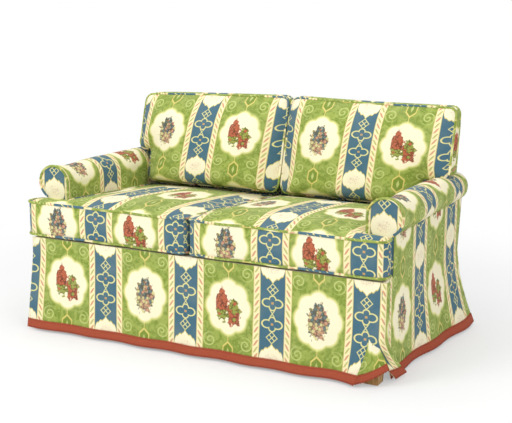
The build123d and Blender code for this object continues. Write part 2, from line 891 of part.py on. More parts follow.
back_seam = clear + seam_drop  # in front of the inside back
back_x_low = cushion_gap + rim
back_x_high = arm_inner - cushion_gap - rim
back_lug_x = back_cushion_reach - rim
back_bottom_z = seat_top + clear + rim
back_top_z = cushion_top - rim
back_lug_z = arm_height + cushion_gap + rim
back_pulls = (draw_in, 0, 0, 0, draw_in, draw_in)


def back_outline(normal, inset, reach, length, shrink):
    """Outline of the right back cushion a distance in front of the inside back, with level edges."""
    left, right = back_x_low + inset + shrink, back_x_high - inset - shrink
    low, high = back_bottom_z + inset + shrink, back_top_z - inset - shrink
    lug_right = back_x_high - inset + (back_lug_x - back_x_high) * reach - shrink
    lug_low = back_top_z - inset - (back_top_z - back_lug_z) * length + shrink
    levels = [
        (left, high),
        (left, low),
        (right, low),
        (right, lug_low),
        (lug_right, lug_low),
        (lug_right, high),
    ]
    corners = [(x, along_back(z, normal)) for x, z in levels]
    return cushion_face(raked.offset(normal), corners, back_pulls)


def back_form(shrink):
    """The right back cushion, drawn in all round by a distance."""
    front_seam = back_seam + back_border
    sections = [
        back_outline(clear + shrink, face_inset, *flat_lug, shrink),
        back_outline(back_seam, 0, 1, 1, shrink),
        back_outline(front_seam, 0, 1, 1, shrink),
    ]
    for rise, inset, reach, length in back_crown_steps:
        normal = front_seam + back_crown * rise - shrink
        sections.append(back_outline(normal, inset, reach, length, shrink))
    return lofted(sections)


def zip_pieces(plane):
    """A zip chain on a plane, along its X, and the slider outside it with its pull."""
    chain_back = clear
    slider_back = chain_back + zip_thickness + clear
    pull_back = slider_back + slider_thickness
    with BuildPart() as chain:
        with BuildSketch(plane.offset(chain_back)):
            Rectangle(zip_length, zip_width)
        extrude(amount=zip_thickness)
    with BuildPart() as slider:
        with BuildSketch(plane.offset(slider_back)):
            RectangleRounded(slider_length, slider_width, slider_width / 3)
        extrude(amount=slider_thickness)
        with BuildSketch(plane.offset(pull_back)):
            with Locations((pull_length / 2, 0)):
                SlotOverall(pull_length, pull_width)
        extrude(amount=pull_thickness)
    return chain.part, slider.part


def save_cushion(name, form, seams, zip_plane):
    """Writes a cushion's cover with its zip chain, its filling, its piping and its zip slider."""
    chain, slider = zip_pieces(zip_plane)
    with BuildPart() as cover:
        add(form(0))
        add(form(cloth), mode=Mode.SUBTRACT)
        add(chain)
    save_pair(cover.part, f"{name}_cover")
    save_pair(form(cloth + clear), f"{name}_filling")
    with BuildPart() as cords:
        for seam in seams:
            add(piping(seam))
    save_pair(cords.part, f"{name}_piping")
    save_pair(slider, f"{name}_zip_slider")


seat_zip = Plane(
    origin=((seat_x_low + seat_x_high) / 2, seat_y_high, (seat_lower_seam + seat_upper_seam) / 2),
    x_dir=(-1, 0, 0),
    z_dir=(0, 1, 0),
)
save_cushion(
    "seat_cushion",
    seat_form,
    [seat_outline(height, 0, 1, 1, -cord_out) for height in (seat_lower_seam, seat_upper_seam)],
    seat_zip,
)

zip_normal = back_seam + back_border / 2
back_zip = Plane(
    origin=((back_x_low + back_x_high) / 2, back_y(back_bottom_z, zip_normal), back_bottom_z),
    x_dir=(1, 0, 0),
    z_dir=(0, 0, -1),
)
save_cushion(
    "back_cushion",
    back_form,
    [back_outline(normal, 0, 1, 1, -cord_out) for normal in (back_seam, back_seam + back_border)],
    back_zip,
)

print("overall width", round(2 * (side_hem + fold_depth + clear + braid_thickness), 1))
print("overall depth", round(overall_depth, 1))
print("platform", round(platform, 1), "seat top", round(seat_top, 1), "border_y", round(border_y, 1))
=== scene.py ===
import json
from functools import partialmethod
from math import cos, pi, radians, sin, tan

import bmesh
import bpy
import numpy as np
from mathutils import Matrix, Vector


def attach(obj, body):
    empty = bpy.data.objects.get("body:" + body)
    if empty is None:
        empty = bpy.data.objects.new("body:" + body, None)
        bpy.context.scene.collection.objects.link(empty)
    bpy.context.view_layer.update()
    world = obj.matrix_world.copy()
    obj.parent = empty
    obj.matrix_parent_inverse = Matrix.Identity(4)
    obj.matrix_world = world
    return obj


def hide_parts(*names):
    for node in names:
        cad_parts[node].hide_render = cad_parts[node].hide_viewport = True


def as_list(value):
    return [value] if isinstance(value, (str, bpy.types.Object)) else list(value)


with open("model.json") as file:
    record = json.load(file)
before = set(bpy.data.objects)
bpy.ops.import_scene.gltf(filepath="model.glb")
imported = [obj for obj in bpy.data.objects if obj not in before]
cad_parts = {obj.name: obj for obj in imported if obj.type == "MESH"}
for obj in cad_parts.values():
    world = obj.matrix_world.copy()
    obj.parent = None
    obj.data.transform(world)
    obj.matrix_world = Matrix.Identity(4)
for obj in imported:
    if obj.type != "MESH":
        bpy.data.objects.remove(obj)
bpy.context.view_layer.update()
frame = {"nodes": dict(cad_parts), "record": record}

# Two-seat sofa in printed cotton: looks, soft pieces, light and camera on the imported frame
scene = bpy.context.scene
scene.view_settings.view_transform = "Standard"
HANDS = (("left", -1), ("right", 1))

# Sizes of the sofa in metres: +X to the viewer's right, +Y to the back, +Z up
ARM_INNER, ARM_OUTER = 0.588, 0.680
ROLL_X, ROLL_Z, ROLL_RADIUS = 0.650, 0.542, 0.062
ROLL_END = radians(-61)  # where the cover over the roll meets the side
BORDER_Y, ARM_FRONT, ARM_BODY = -0.4105, -0.3215, -0.3162
PLATFORM, RAIL_BOTTOM, SKIRT_TOP, HEM = 0.3524, 0.172, 0.292, 0.012
SIDE_TOP = 0.4865
SEAT_BACK, RAKE = 0.2801, radians(9.4)
BACK_TOP, OVER_ARM, BACK_WIDE, BACK_NARROW = 0.752, 0.550, 0.652, 0.5877
OUTSIDE_BACK = -0.0872  # behind the inside back
CORD = 0.0046  # radius of a piping cord
BRAID = 0.031  # width of the braid
COTTON = 0.0014  # thickness of a hanging cover
CELL = 0.013  # size of a cushion's mesh cells
HAIR, NUDGE = 1e-9, 1e-6  # slack in comparing places on a grid, and just past a mark

# The print: stripes a repeat apart, with a picture halfway between two of them
REPEAT, RISE = 0.332, 0.315
STRIPE, ROPE = 0.045, 0.026
# Shift of the print on each panel, across and up
PRINT = {
    "front": (0.036, -0.198),
    "side": (0.064, -0.205),
    "rear": (0.036, -0.198),
    "arm": (0.047, -0.395),
}
SEAT_LEVEL = 0.411  # height of the pictures on the seat cushions' front
BACK_LEVEL = -0.684  # shift of the print up the back and its cushions
LEAN = 1.20  # cloth on the leaning face of a back cushion for each unit of height
END_SHIFT = 0.17  # of the print across the pleats and the ends of the fixed back


def back_y(z, w):
    """Y of the raked back at a height, a distance in front of the inside back."""
    return SEAT_BACK + (z - PLATFORM) * tan(RAKE) - w / cos(RAKE)


def ease(x):
    """Smooth step from 0 to 1."""
    x = np.clip(x, 0, 1)
    return x * x * (3 - 2 * x)


def stack(*parts):
    """Arrays of one coordinate each as points."""
    return np.stack(np.broadcast_arrays(*parts), -1)


def through(start, middle, end, first, second):
    """Values from start to end through a middle mark, by the number on each stretch."""
    return np.concatenate([np.linspace(start, middle, first)[:-1], np.linspace(middle, end, second)])


def wavy(x, seed, size):
    """Irregular smooth swell of about one unit along a coordinate."""
    rng = np.random.default_rng(seed)
    total = np.zeros_like(x)
    for part in range(4):
        total += np.sin(x * 2 * pi / (size * rng.uniform(0.6, 1.7)) + rng.uniform(0, 2 * pi)) / (1 + part)
    return total / 1.6


# Materials: values that can be reckoned with, as chains of shader nodes
def linear(r, g, b):
    """Linear colour of an sRGB one."""
    return tuple(c / 12.92 if c <= 0.04045 else ((c + 0.055) / 1.055) ** 2.4 for c in (r, g, b)) + (1.0,)


def plug(socket, value):
    """Sets a socket to a plain value or links a Value to it."""
    if isinstance(value, Value):
        value.tree.links.new(value.source, socket)
    else:
        socket.default_value = value


def add_node(tree, kind, **inputs):
    """A shader node with its inputs set or linked. An underscore in their names stands for a space."""
    node = tree.nodes.new(f"ShaderNode{kind}")
    for name, value in inputs.items():
        plug(node.inputs[name.replace("_", " ")], value)
    return node


class Value:
    """Output of a shader node that takes part in sums."""

    def __init__(self, source):
        self.source = source
        self.tree = source.id_data

    def math(self, operation, *others):
        node = add_node(self.tree, "Math")
        node.operation = operation
        for socket, value in zip(node.inputs, (self, *others)):
            plug(socket, value)
        return Value(node.outputs[0])

    __add__ = partialmethod(math, "ADD")
    __sub__ = partialmethod(math, "SUBTRACT")
    __mul__ = partialmethod(math, "MULTIPLY")
    __truediv__ = partialmethod(math, "DIVIDE")
    abs = partialmethod(math, "ABSOLUTE")
    min = partialmethod(math, "MINIMUM")
    max = partialmethod(math, "MAXIMUM")
    above = partialmethod(math, "GREATER_THAN")  # 1 or 0

    def hypot(self, other):
        """Length of the vector (self, other)."""
        return (self * self + other * other).math("SQRT")

    def folded(self, period):
        """Signed distance to the nearest multiple of a period."""
        return ((self / period + 0.5).math("FRACT") - 0.5) * period

    def below(self, edge, soft):
        """1 where the value is below an edge, 0 above it, with a soft step between."""
        ends = dict(From_Min=edge - soft, From_Max=edge + soft, To_Min=1.0, To_Max=0.0)
        node = add_node(self.tree, "MapRange", Value=self, **ends)
        node.interpolation_type = "SMOOTHSTEP"
        return Value(node.outputs["Result"])

    def line(self, half, soft):
        """1 within a half width of zero."""
        return self.abs().below(half, soft)


def mix(share, under, over):
    """Colour `over` laid on `under` by a share."""
    node = add_node(share.tree, "Mix")
    node.data_type = "RGBA"
    plug(node.inputs["Factor"], share)
    plug(node.inputs[6], under)
    plug(node.inputs[7], over)
    return Value(node.outputs[2])


def noise(vector, scale, detail=2.0, distortion=0.0):
    """Noise on a coordinate."""
    inputs = dict(Scale=scale, Detail=detail, Distortion=distortion)
    node = add_node(vector.tree, "TexNoise", Vector=vector, **inputs)
    return Value(node.outputs["Fac"])


def bump(shader, height, strength, distance):
    """Relief on a shader from a height."""
    node = add_node(height.tree, "Bump", Height=height, Strength=strength, Distance=distance)
    plug(shader.inputs["Normal"], Value(node.outputs["Normal"]))


def new_material(name, roughness):
    """A material with its node tree and Principled shader."""
    material = bpy.data.materials.new(name)
    material.use_nodes = True
    shader = material.node_tree.nodes["Principled BSDF"]
    shader.inputs["Roughness"].default_value = roughness
    shader.inputs["Specular IOR Level"].default_value = 0.2
    return material, material.node_tree, shader


def cloth_coordinates(tree):
    """The cloth's own coordinates in metres, together and one by one."""
    node = add_node(tree, "UVMap")
    node.uv_map = "UVMap"
    uv = Value(node.outputs["UV"])
    split = add_node(tree, "SeparateXYZ", Vector=uv)
    return uv, Value(split.outputs["X"]), Value(split.outputs["Y"])


CREAM = linear(0.98, 0.945, 0.81)
YELLOW = linear(0.86, 0.80, 0.45)
GREEN = linear(0.61, 0.67, 0.31)
DARK_GREEN = linear(0.49, 0.57, 0.21)
PALE_GREEN = linear(0.75, 0.79, 0.47)
BLUE = linear(0.30, 0.45, 0.52)
DARK_BLUE = linear(0.26, 0.41, 0.48)
SLATE = linear(0.40, 0.47, 0.46)
INK = linear(0.26, 0.19, 0.14)
RED = linear(0.74, 0.40, 0.28)
ROSE = linear(0.78, 0.58, 0.47)
PINK = linear(0.74, 0.52, 0.44)
ORANGE = linear(0.83, 0.62, 0.36)
APRICOT = linear(0.85, 0.62, 0.48)
OLIVE = linear(0.60, 0.63, 0.30)
MOSS = linear(0.77, 0.75, 0.47)
STRAW = linear(0.84, 0.80, 0.56)
GLOW = linear(0.89, 0.88, 0.56)
STRAP = linear(0.89, 0.86, 0.58)
BAND = linear(0.97, 0.92, 0.72)
BAND_EDGE = linear(0.83, 0.77, 0.47)
FADED = linear(0.85, 0.82, 0.68)


def ground(uv, x, level, between):
    """Green ground with scrolls. x and level are measured from a picture, and between from the framed leaf
    halfway to the next one up."""
    curl_out, curl_up, curl_pitch, curl_radius = 0.070, 0.122, 0.015, 0.026
    frame_side, frame_wide, frame_tall = 0.019, 0.038, 0.036
    leaf_wide, leaf_tall = 0.0055, 0.017
    stem_up, stem_length, stem_width = 0.108, 0.012, 0.0015
    leafy = noise(uv, 34.0, 3.0, 1.4)
    colour = mix(leafy.below(0.5, 0.10), GREEN, DARK_GREEN)
    fern = noise(uv, 58.0, 1.0, 2.4)
    colour = mix((fern - 0.5).line(0.018, 0.02) * 0.55, colour, PALE_GREEN)
    curl_x = x.abs() - curl_out
    curl_z = level.abs() - curl_up
    reach = curl_x.hypot(curl_z)
    turn = (curl_z.math("ARCTAN2", curl_x) / (2 * pi) + reach / curl_pitch).math("FRACT") - 0.5
    colour = mix(turn.line(0.15, 0.08) * reach.below(curl_radius, 0.004), colour, PALE_GREEN)
    frame_out = (x.abs() / frame_side).max(x.abs() / frame_wide + between.abs() / frame_tall)
    colour = mix(frame_out.below(1.0, 0.05), colour, DARK_GREEN)
    colour = mix((frame_out - 1.0).line(0.11, 0.05), colour, YELLOW)
    leaf = x.abs() / leaf_wide + between.abs() / leaf_tall
    colour = mix(leaf.below(1.0, 0.15), colour, PALE_GREEN)
    stem = x.line(stem_width, 0.0008) * (level.abs() - stem_up).line(stem_length, 0.002)
    return mix(stem, colour, YELLOW)


def picture(under, x, level, odd):
    """Cream panel with eight lobes and a glowing rim, and a posy in it: one of mixed colours, or a red and
    an olive one side by side."""
    panel_wide, panel_tall, lobe = 0.080, 0.091, 0.11
    point_wide, point_tall, point_foot = 0.013, 0.020, 0.086
    point_up, point_reach = 0.096, 0.014
    px = x / panel_wide
    pz = level / panel_tall
    lobes = (pz.math("ARCTAN2", px) * 4.0).math("COSINE").abs()
    far = px.hypot(pz) - lobes * lobe
    point = (x.abs() / point_wide + (level.abs() - point_foot) / point_tall).below(1.0, 0.15)
    point = point * (level.abs() - point_up).line(point_reach, 0.003)
    colour = mix(far.below(1.01, 0.07).max(point), under, GLOW)
    colour = mix(far.below(0.93, 0.04), colour, CREAM)

    spot = Value(add_node(x.tree, "CombineXYZ", X=x, Y=level, Z=odd * 3.7).outputs["Vector"])
    petals = add_node(x.tree, "TexVoronoi", Vector=spot, Scale=84.0)
    shades = add_node(x.tree, "SeparateColor", Color=Value(petals.outputs["Color"]))
    pick = Value(shades.outputs["Red"])
    other = Value(shades.outputs["Green"])
    left = x.below(0.002, 0.004)
    upper = (level * -1.0).below(0.012, 0.010)
    red_share = left * upper + (left * -1.0 + 1.0) * (upper * -1.0 + 1.0) * 0.8 + 0.12
    pair = mix((pick - red_share).below(0.0, 0.04), OLIVE, RED)
    mixed = mix(pick.below(0.40, 0.04), STRAW, ROSE)
    mixed = mix(other.below(0.26, 0.04), mixed, SLATE)
    posy = mix(odd, mixed, pair)

    def oval(across, up, wide, high):
        return ((x - across) / wide).hypot((level - up) / high)

    ragged = (noise(spot, 60.0) - 0.5) * 1.1
    tall = oval(-0.024, 0.004, 0.024, 0.062)
    low = oval(0.020, -0.018, 0.030, 0.050)
    single = oval(0.0, -0.004, 0.040, 0.066)
    reach = single + (tall.min(low) - single) * odd
    mass = (reach + ragged).below(0.92, 0.05)
    colour = mix(mass, colour, posy)
    gaps = (Value(petals.outputs["Distance"]) - 0.62).line(0.09, 0.05)
    return mix(mass * gaps * 0.75, colour, INK)


def strapwork(uv, a, level, between):
    """Blue stripe with pale straps, and cream ogee panels. a is the distance from the stripe's middle."""
    strap_half, knot_up, knot_side, knot_end = 0.0021, 0.036, 0.0190, 0.0125
    trellis_up, trellis_pitch, trellis_reach = 0.082, 0.0200, 0.0225
    ogee_wide, ogee_tall = 0.0445, 0.038
    spike_wide, spike_tall, scallop = 0.007, 0.014, 0.005
    weave = noise(uv, 320.0, 1.0)
    colour = mix(weave.below(0.5, 0.2), BLUE, DARK_BLUE)
    up = level.abs()
    knot = up - knot_up
    sides = ((a - knot_side) / 1.35).hypot(knot) - 0.0135
    ends = a.hypot(knot.abs() - knot_end) - 0.0120
    straps = sides.min(ends).line(strap_half, 0.0008)
    tie = (a - up * 0.7).line(0.0018, 0.0008) * up.below(0.012, 0.001)
    straps = straps.max(tie)
    rise = up - trellis_up
    trellis = (a + rise).folded(trellis_pitch).abs().min((a - rise).folded(trellis_pitch).abs())
    straps = straps.max(trellis.below(strap_half, 0.0007) * (a + rise.abs()).below(trellis_reach, 0.001))
    colour = mix(straps, colour, STRAP)
    colour = mix(a.hypot(knot).below(0.0040, 0.001), colour, ORANGE)

    dome = (a * a * (-1 / ogee_wide**2) + 1.0).max(0.0).math("SQRT") * ogee_tall
    spike = (a * (-1 / spike_wide) + 1.0).max(0.0) * spike_tall
    scallops = (a * (3 * pi / ogee_wide)).math("SINE").abs() * scallop
    ogee = between.abs() - dome - spike - scallops
    colour = mix(ogee.below(0.003, 0.0008), colour, YELLOW)
    colour = mix(ogee.below(-0.001, 0.0015), colour, CREAM)
    strokes = (noise(uv, 110.0, 2.0, 0.8) - 0.5).line(0.016, 0.014)
    vignette = (a / 0.026).hypot(between / 0.020).below(1.0, 0.15)
    return mix(strokes * vignette * 0.7, colour, PINK)


def rope_border(a, v):
    """Cream band with slanting tapered dashes in two colours, between thin lines."""
    dash_pitch, dash_slant = 0.0228, 1.25
    off = (a - (STRIPE + ROPE / 2)).abs() / (ROPE / 2)
    slant = (v + a * dash_slant) / dash_pitch
    taper = off * off * (-0.5) + 0.25
    dash = ((slant.math("FRACT") - 0.5).abs() - taper).below(0.0, 0.05)
    second = ((slant / 2).math("FRACT") - 0.5).above(0.0)
    tint = mix(second, APRICOT, MOSS)
    colour = mix(dash, BAND, tint)
    return mix(off.below(0.84, 0.05), BAND_EDGE, colour)


def print_material():
    """Cotton printed in stripes of strapwork between rope borders, and pictures on a green ground."""
    thread = 0.0011
    material, tree, shader = new_material("printed_cotton", 0.85)
    uv, u, v = cloth_coordinates(tree)
    a = u.folded(REPEAT).abs()
    x = (u - REPEAT / 2).folded(REPEAT)
    odd = (u / (2 * REPEAT)).math("FRACT").below(0.5, 0.001)
    level = v.folded(RISE)
    between = (v - RISE / 2).folded(RISE)
    colour = picture(ground(uv, x, level, between), x, level, odd)
    colour = mix(a.below(STRIPE + ROPE, 0.0006), colour, rope_border(a, v))
    colour = mix(a.below(STRIPE, 0.0008), colour, strapwork(uv, a, level, between))
    wear = noise(uv, 9.0, 4.0)
    colour = mix(wear.below(0.42, 0.2) * 0.10, colour, FADED)
    plug(shader.inputs["Base Color"], colour)
    shader.inputs["Sheen Weight"].default_value = 0.10
    threads = (u * (2 * pi / thread)).math("SINE") * (v * (2 * pi / thread)).math("SINE")
    bump(shader, threads + noise(uv, 45.0, 3.0) * 2.0, 0.22, 0.0008)
    return material


def braid_material():
    """Brick-red braid, ribbed on the slant, with painted shade that darkens each rib towards the grooves
    between ribs, and a darker line along each edge.
    """
    rib_pitch = 0.0055
    material, tree, shader = new_material("braid", 0.88)
    uv, u, v = cloth_coordinates(tree)
    rib = (u + v.abs() * 0.6).folded(rib_pitch).abs() / (rib_pitch / 2)
    # painted shade: each rib is lighter in its middle and darker towards the grooves between ribs
    colour = mix(rib.below(0.5, 0.4), linear(0.72, 0.37, 0.27), linear(0.63, 0.28, 0.19))
    fleck = noise(uv, 240.0)
    colour = mix(fleck.below(0.42, 0.08) * 0.5, colour, linear(0.52, 0.22, 0.15))
    edge = (v.abs() / (BRAID / 2) - 0.74).line(0.06, 0.03)
    colour = mix(edge * 0.6, colour, linear(0.50, 0.20, 0.14))
    plug(shader.inputs["Base Color"], colour)
    bump(shader, rib, 0.5, 0.0012)
    return material


def zip_material():
    """Cotton tape with a row of brass teeth along its middle."""
    tooth_pitch, tooth_half, tooth_reach = 0.0032, 0.0010, 0.0028
    material, tree, shader = new_material("zip_tape", 0.5)
    uv, u, v = cloth_coordinates(tree)
    tooth = u.folded(tooth_pitch).line(tooth_half, 0.0003) * v.line(tooth_reach, 0.0003)
    weave = noise(uv, 500.0).below(0.5, 0.2)
    tape = mix(weave, linear(0.80, 0.76, 0.60), linear(0.70, 0.66, 0.50))
    colour = mix(tooth, tape, linear(0.78, 0.62, 0.30))
    plug(shader.inputs["Base Color"], colour)
    plug(shader.inputs["Metallic"], tooth)
    bump(shader, tooth, 0.7, 0.001)
    return material


def mottled(name, dark, light, roughness, scale, stretch=(1, 1, 1), strength=0.2, metallic=0.0):
    """Two shades grown into each other, drawn out along an axis for a grain or a brushed finish."""
    material, tree, shader = new_material(name, roughness)
    place = add_node(tree, "TexCoord")
    mapping = add_node(tree, "Mapping", Vector=Value(place.outputs["Object"]), Scale=stretch)
    grain = Value(mapping.outputs["Vector"])
    coarse = noise(grain, scale, 4.0, 0.8)
    fine = noise(grain, scale * 9, 2.0)
    colour = mix((coarse * 0.7 + fine * 0.3).below(0.5, 0.14), linear(*light), linear(*dark))
    plug(shader.inputs["Base Color"], colour)
    shader.inputs["Metallic"].default_value = metallic
    bump(shader, fine, strength, 0.0008)
    return material


printed = print_material()
braid = braid_material()
zip_tape = zip_material()
lining = mottled("lining", (0.70, 0.66, 0.56), (0.79, 0.76, 0.67), 0.9, 60.0, stretch=(1, 4, 4))
jute = mottled("jute", (0.50, 0.40, 0.25), (0.62, 0.51, 0.34), 0.95, 90.0, stretch=(1, 3, 3), strength=0.5)
steel = mottled("steel", (0.42, 0.42, 0.43), (0.56, 0.56, 0.57), 0.35, 80.0, metallic=1.0)

LOOKS = {
    "printed_cloth": printed,
    "braid": braid,
    "lining": lining,
    "hessian": jute,
    "webbing": jute,
    "padding": mottled("wadding", (0.88, 0.85, 0.74), (0.94, 0.92, 0.84), 1.0, 30.0),
    "frame_wood": mottled("beech", (0.66, 0.49, 0.32), (0.76, 0.60, 0.41), 0.6, 10.0, stretch=(1, 9, 9)),
    "foot_wood": mottled("oak", (0.55, 0.40, 0.23), (0.70, 0.54, 0.33), 0.45, 16.0, stretch=(9, 9, 1)),
    "spring_steel": steel,
    "bolt_steel": steel,
    "clip_plastic": mottled("pale_plastic", (0.80, 0.80, 0.75), (0.86, 0.86, 0.81), 0.5, 60.0),
    "glide_plastic": mottled("dark_plastic", (0.16, 0.15, 0.14), (0.22, 0.21, 0.20), 0.5, 60.0),
    "zip_brass": mottled("brass", (0.60, 0.47, 0.20), (0.74, 0.60, 0.30), 0.3, 80.0, metallic=1.0),
}
for subpart in frame["record"]["subparts"]:
    node = frame["nodes"][subpart["node"]]
    node.data.materials.clear()
    node.data.materials.append(LOOKS[subpart["material_slot"]])


# Meshes: grids of points that carry their own print coordinates
WELD = 0.0002  # points closer than this are one
ASLANT = (0.31, 0.17, 0.93)  # a direction that no piping runs along
BIAS = 0.7  # share of the print's run along cloth cut on the cross
STIFFNESS = 0.6  # of a cushion's cover against bending


class Cloth:
    """A mesh gathered from grids, welded where they meet."""

    def __init__(self):
        self.points = []
        self.prints = []
        self.pins = []
        self.faces = []

    def grid(self, points, prints, keep=None, flip=False, pins=None):
        """Adds rows x columns of points. keep picks cells, and pins marks points that a swelling holds."""
        rows, columns = points.shape[:2]
        start = len(self.points)
        self.points += [tuple(point) for point in points.reshape(-1, 3)]
        self.prints += [tuple(pair) for pair in prints.reshape(-1, 2)]
        self.pins += [1] * rows * columns if pins is None else [int(pin) for pin in pins.reshape(-1)]
        for i in range(rows - 1):
            for j in range(columns - 1):
                if keep is None or keep[i, j]:
                    low = start + i * columns + j
                    quad = (low, low + 1, low + columns + 1, low + columns)
                    self.faces.append(quad[::-1] if flip else quad)

    def build(self, name, material, thickness=0.0, closed=False):
        """The object, with a thickness for a sheet."""
        mesh = bpy.data.meshes.new(name)
        mesh.from_pydata(self.points, [], self.faces)
        layer = mesh.uv_layers.new(name="UVMap")
        for loop in mesh.loops:
            layer.data[loop.index].uv = self.prints[loop.vertex_index]
        pins = mesh.attributes.new("pin", "INT", "POINT")
        pins.data.foreach_set("value", self.pins)
        shape = bmesh.new()
        shape.from_mesh(mesh)
        bmesh.ops.delete(shape, geom=[v for v in shape.verts if not v.link_faces], context="VERTS")
        bmesh.ops.remove_doubles(shape, verts=shape.verts, dist=WELD)
        if closed:
            bmesh.ops.recalc_face_normals(shape, faces=shape.faces)
        shape.to_mesh(mesh)
        shape.free()
        mesh.materials.append(material)
        mesh.shade_smooth()
        obj = bpy.data.objects.new(name, mesh)
        scene.collection.objects.link(obj)
        if thickness:
            sheet = obj.modifiers.new("thickness", "SOLIDIFY")
            sheet.thickness = thickness
            sheet.offset = -1.0
        return obj


def panel(name, points, prints, material, thickness=0.0, flip=False, keep=None, closed=False):
    """A piece made of one grid."""
    cloth = Cloth()
    cloth.grid(points, prints, keep, flip)
    return cloth.build(name, material, thickness, closed)


def dress(obj, *nodes, body="frame", slot="printed_cloth"):
    """Lets a finished piece ride a body in place of CAD nodes."""
    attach(obj, body)
    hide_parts(*nodes)
    return obj


def hang_sheet(obj, grids, rests_on):
    """Measures the width and length of a sheet from the grids, side by side, that it was made from, and
    keeps neither.
    """
    width = sum(np.linalg.norm(np.diff(points, axis=1), axis=2).sum(1) for points in grids).max()
    length = max(np.linalg.norm(np.diff(points, axis=0), axis=2).sum(0).max() for points in grids)
    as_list(rests_on)


def piping(name, path, radius, closed):
    """A cord covered in the print on the cross, along a path of points."""
    ahead = np.gradient(path, axis=0)
    if closed:
        ahead = np.roll(path, -1, 0) - np.roll(path, 1, 0)
    ahead /= np.linalg.norm(ahead, axis=1)[:, None]
    side = np.cross(ahead, ASLANT)
    side /= np.linalg.norm(side, axis=1)[:, None]
    lift = np.cross(side, ahead)
    turns = np.linspace(0, 2 * pi, 9)
    across, up = np.cos(turns)[None, :, None], np.sin(turns)[None, :, None]
    rings = path[:, None] + radius * (across * side[:, None] + up * lift[:, None])
    run = np.concatenate([[0], np.cumsum(np.linalg.norm(np.diff(path, axis=0), axis=1))])
    if closed:
        rings = np.concatenate([rings, rings[:1]])
        run = np.append(run, run[-1] + np.linalg.norm(path[0] - path[-1]))
    prints = stack(run[:, None] * BIAS, run[:, None] * BIAS + turns[None] * radius)
    return panel(name, rings, prints, printed, closed=True)


def plump(obj, pressure, steps, most):
    """Swells a cushion by a short cloth simulation that holds its seams, no point further than a limit."""
    count = len(obj.data.vertices)
    pins = np.zeros(count, int)
    obj.data.attributes["pin"].data.foreach_get("value", pins)
    seams = obj.vertex_groups.new(name="seams")
    seams.add([int(index) for index in np.flatnonzero(pins)], 1.0, "REPLACE")
    cloth = obj.modifiers.new("cloth", "CLOTH")
    cloth.settings.vertex_group_mass = seams.name
    cloth.settings.use_pressure = True
    cloth.settings.uniform_pressure_force = pressure
    cloth.settings.effector_weights.gravity = 0.0
    cloth.settings.bending_stiffness = STIFFNESS
    cloth.point_cache.frame_end = steps
    for step in range(1, steps + 1):
        scene.frame_set(step)
    swollen = obj.evaluated_get(bpy.context.evaluated_depsgraph_get()).data
    before, after = np.zeros(3 * count), np.zeros(3 * count)
    obj.data.vertices.foreach_get("co", before)
    swollen.vertices.foreach_get("co", after)
    obj.modifiers.remove(cloth)
    scene.frame_set(1)
    move = (after - before).reshape(-1, 3)
    reach = np.linalg.norm(move, axis=1)[:, None]
    move *= np.minimum(1, most / np.maximum(reach, 1e-9))
    obj.data.vertices.foreach_set("co", before + move.ravel())
    obj.data.update()


# Cushions: L-shaped in plan, boxed with a border and crowned on the face
CORNER = 0.028  # rounding of the outer corners
DRAW, DRAW_REACH = 0.005, 0.25  # how the free side is drawn in, and how deep that reaches
PUCKER, PUCKER_PITCH, PUCKER_REACH = 0.0016, 0.037, 0.018  # small folds along a seam
RUMPLE = 0.0035  # unevenness of the face
UNDER_SWELL, BORDER_SWELL = 0.006, 0.007
CROWN_POWER = 2.4
PIPING_WOBBLE = 0.0012
PRESSURE, STEPS, MOST_SWELL = 3.0, 12, 0.008  # of the short simulation
ZIP_SIDE = 4  # number of the side that takes the zip and stays flat
ZIP_X, ZIP_HALF, TAPE_HALF, TAPE = 0.294, 0.21, 0.006, 0.0006
ARM_SIDE = ARM_INNER - CORD  # a cushion's side along the arm

SEAT_SEAMS = (0.3625, 0.4810)
SEAT_FRONT, SEAT_REAR, SEAT_LUG = -0.4118, 0.2702, -0.336
# Where each starts and its lug ends, its crown, and the print's shift across and closeness along the top
SEATS = {
    "left": dict(start=0.040, lug_end=0.711, rise=0.018, shift=0.405, close=0.72),
    "right": dict(start=-0.030, lug_end=0.686, rise=0.026, shift=-0.285, close=0.85),
}
SEAT_EDGE = 0.15  # from a seam to the full height of the crown
SEAT_FALL, FALL_FROM, FALL_LENGTH = 0.036, -0.30, 0.57  # how the top seam falls to the rear
SEAT_WORN, WORN_FROM, WORN_LENGTH = 0.010, -0.05, 0.25  # how the crown is lower at the rear
SEAT_ZIP_PROUD = 0.0012

BACK_TOP_EDGE, BACK_BOTTOM_EDGE = 0.8268, 0.5170
BACKS = {
    "left": dict(start=-0.004, lug=0.6105, lug_end=0.642, bulge=1.12, droop=0.020, shift=0.318),
    "right": dict(start=0.016, lug=0.588, lug_end=0.674, bulge=0.95, droop=0.004, shift=-0.344),
}
BACK_REST, BACK_THIN, BACK_GAIN = 0.004, 0.045, 0.040  # rear seam, and face seam from top to bottom
BACK_RISE, BACK_RISE_GAIN = 0.032, 0.058  # of the crown, from top to bottom
BACK_EDGE = 0.12
TIGHT, TIGHT_REACH = 2.0, 0.06  # how much steeper the crown is at the bottom's corners
SAG, SAG_START = 0.045, 0.4
SAG_FROM, SAG_DEPTH = 0.055, 0.03  # heights between which a cushion starts to sag
BACK_ZIP_OUT, BACK_ZIP_PROUD = 0.046, 0.0008
BACK_SIDE_SHIFT = 0.10  # of the print on the upright borders


def grid_lines(low, middle, high):
    """Lines about a cell apart from low to high, with one on the middle mark."""
    counts = [max(3, round(length / CELL) + 1) for length in (middle - low, high - middle)]
    return through(low, middle, high, *counts)


def l_corners(start, inner, outer, low, step, high):
    """Six corners of a right-hand L, its wide part at the low end."""
    return [(start, low), (outer, low), (outer, step), (inner, step), (inner, high), (start, high)]


def outline_sides(corners):
    """The two ends of each side of an outline."""
    return list(zip(corners, corners[1:] + corners[:1]))


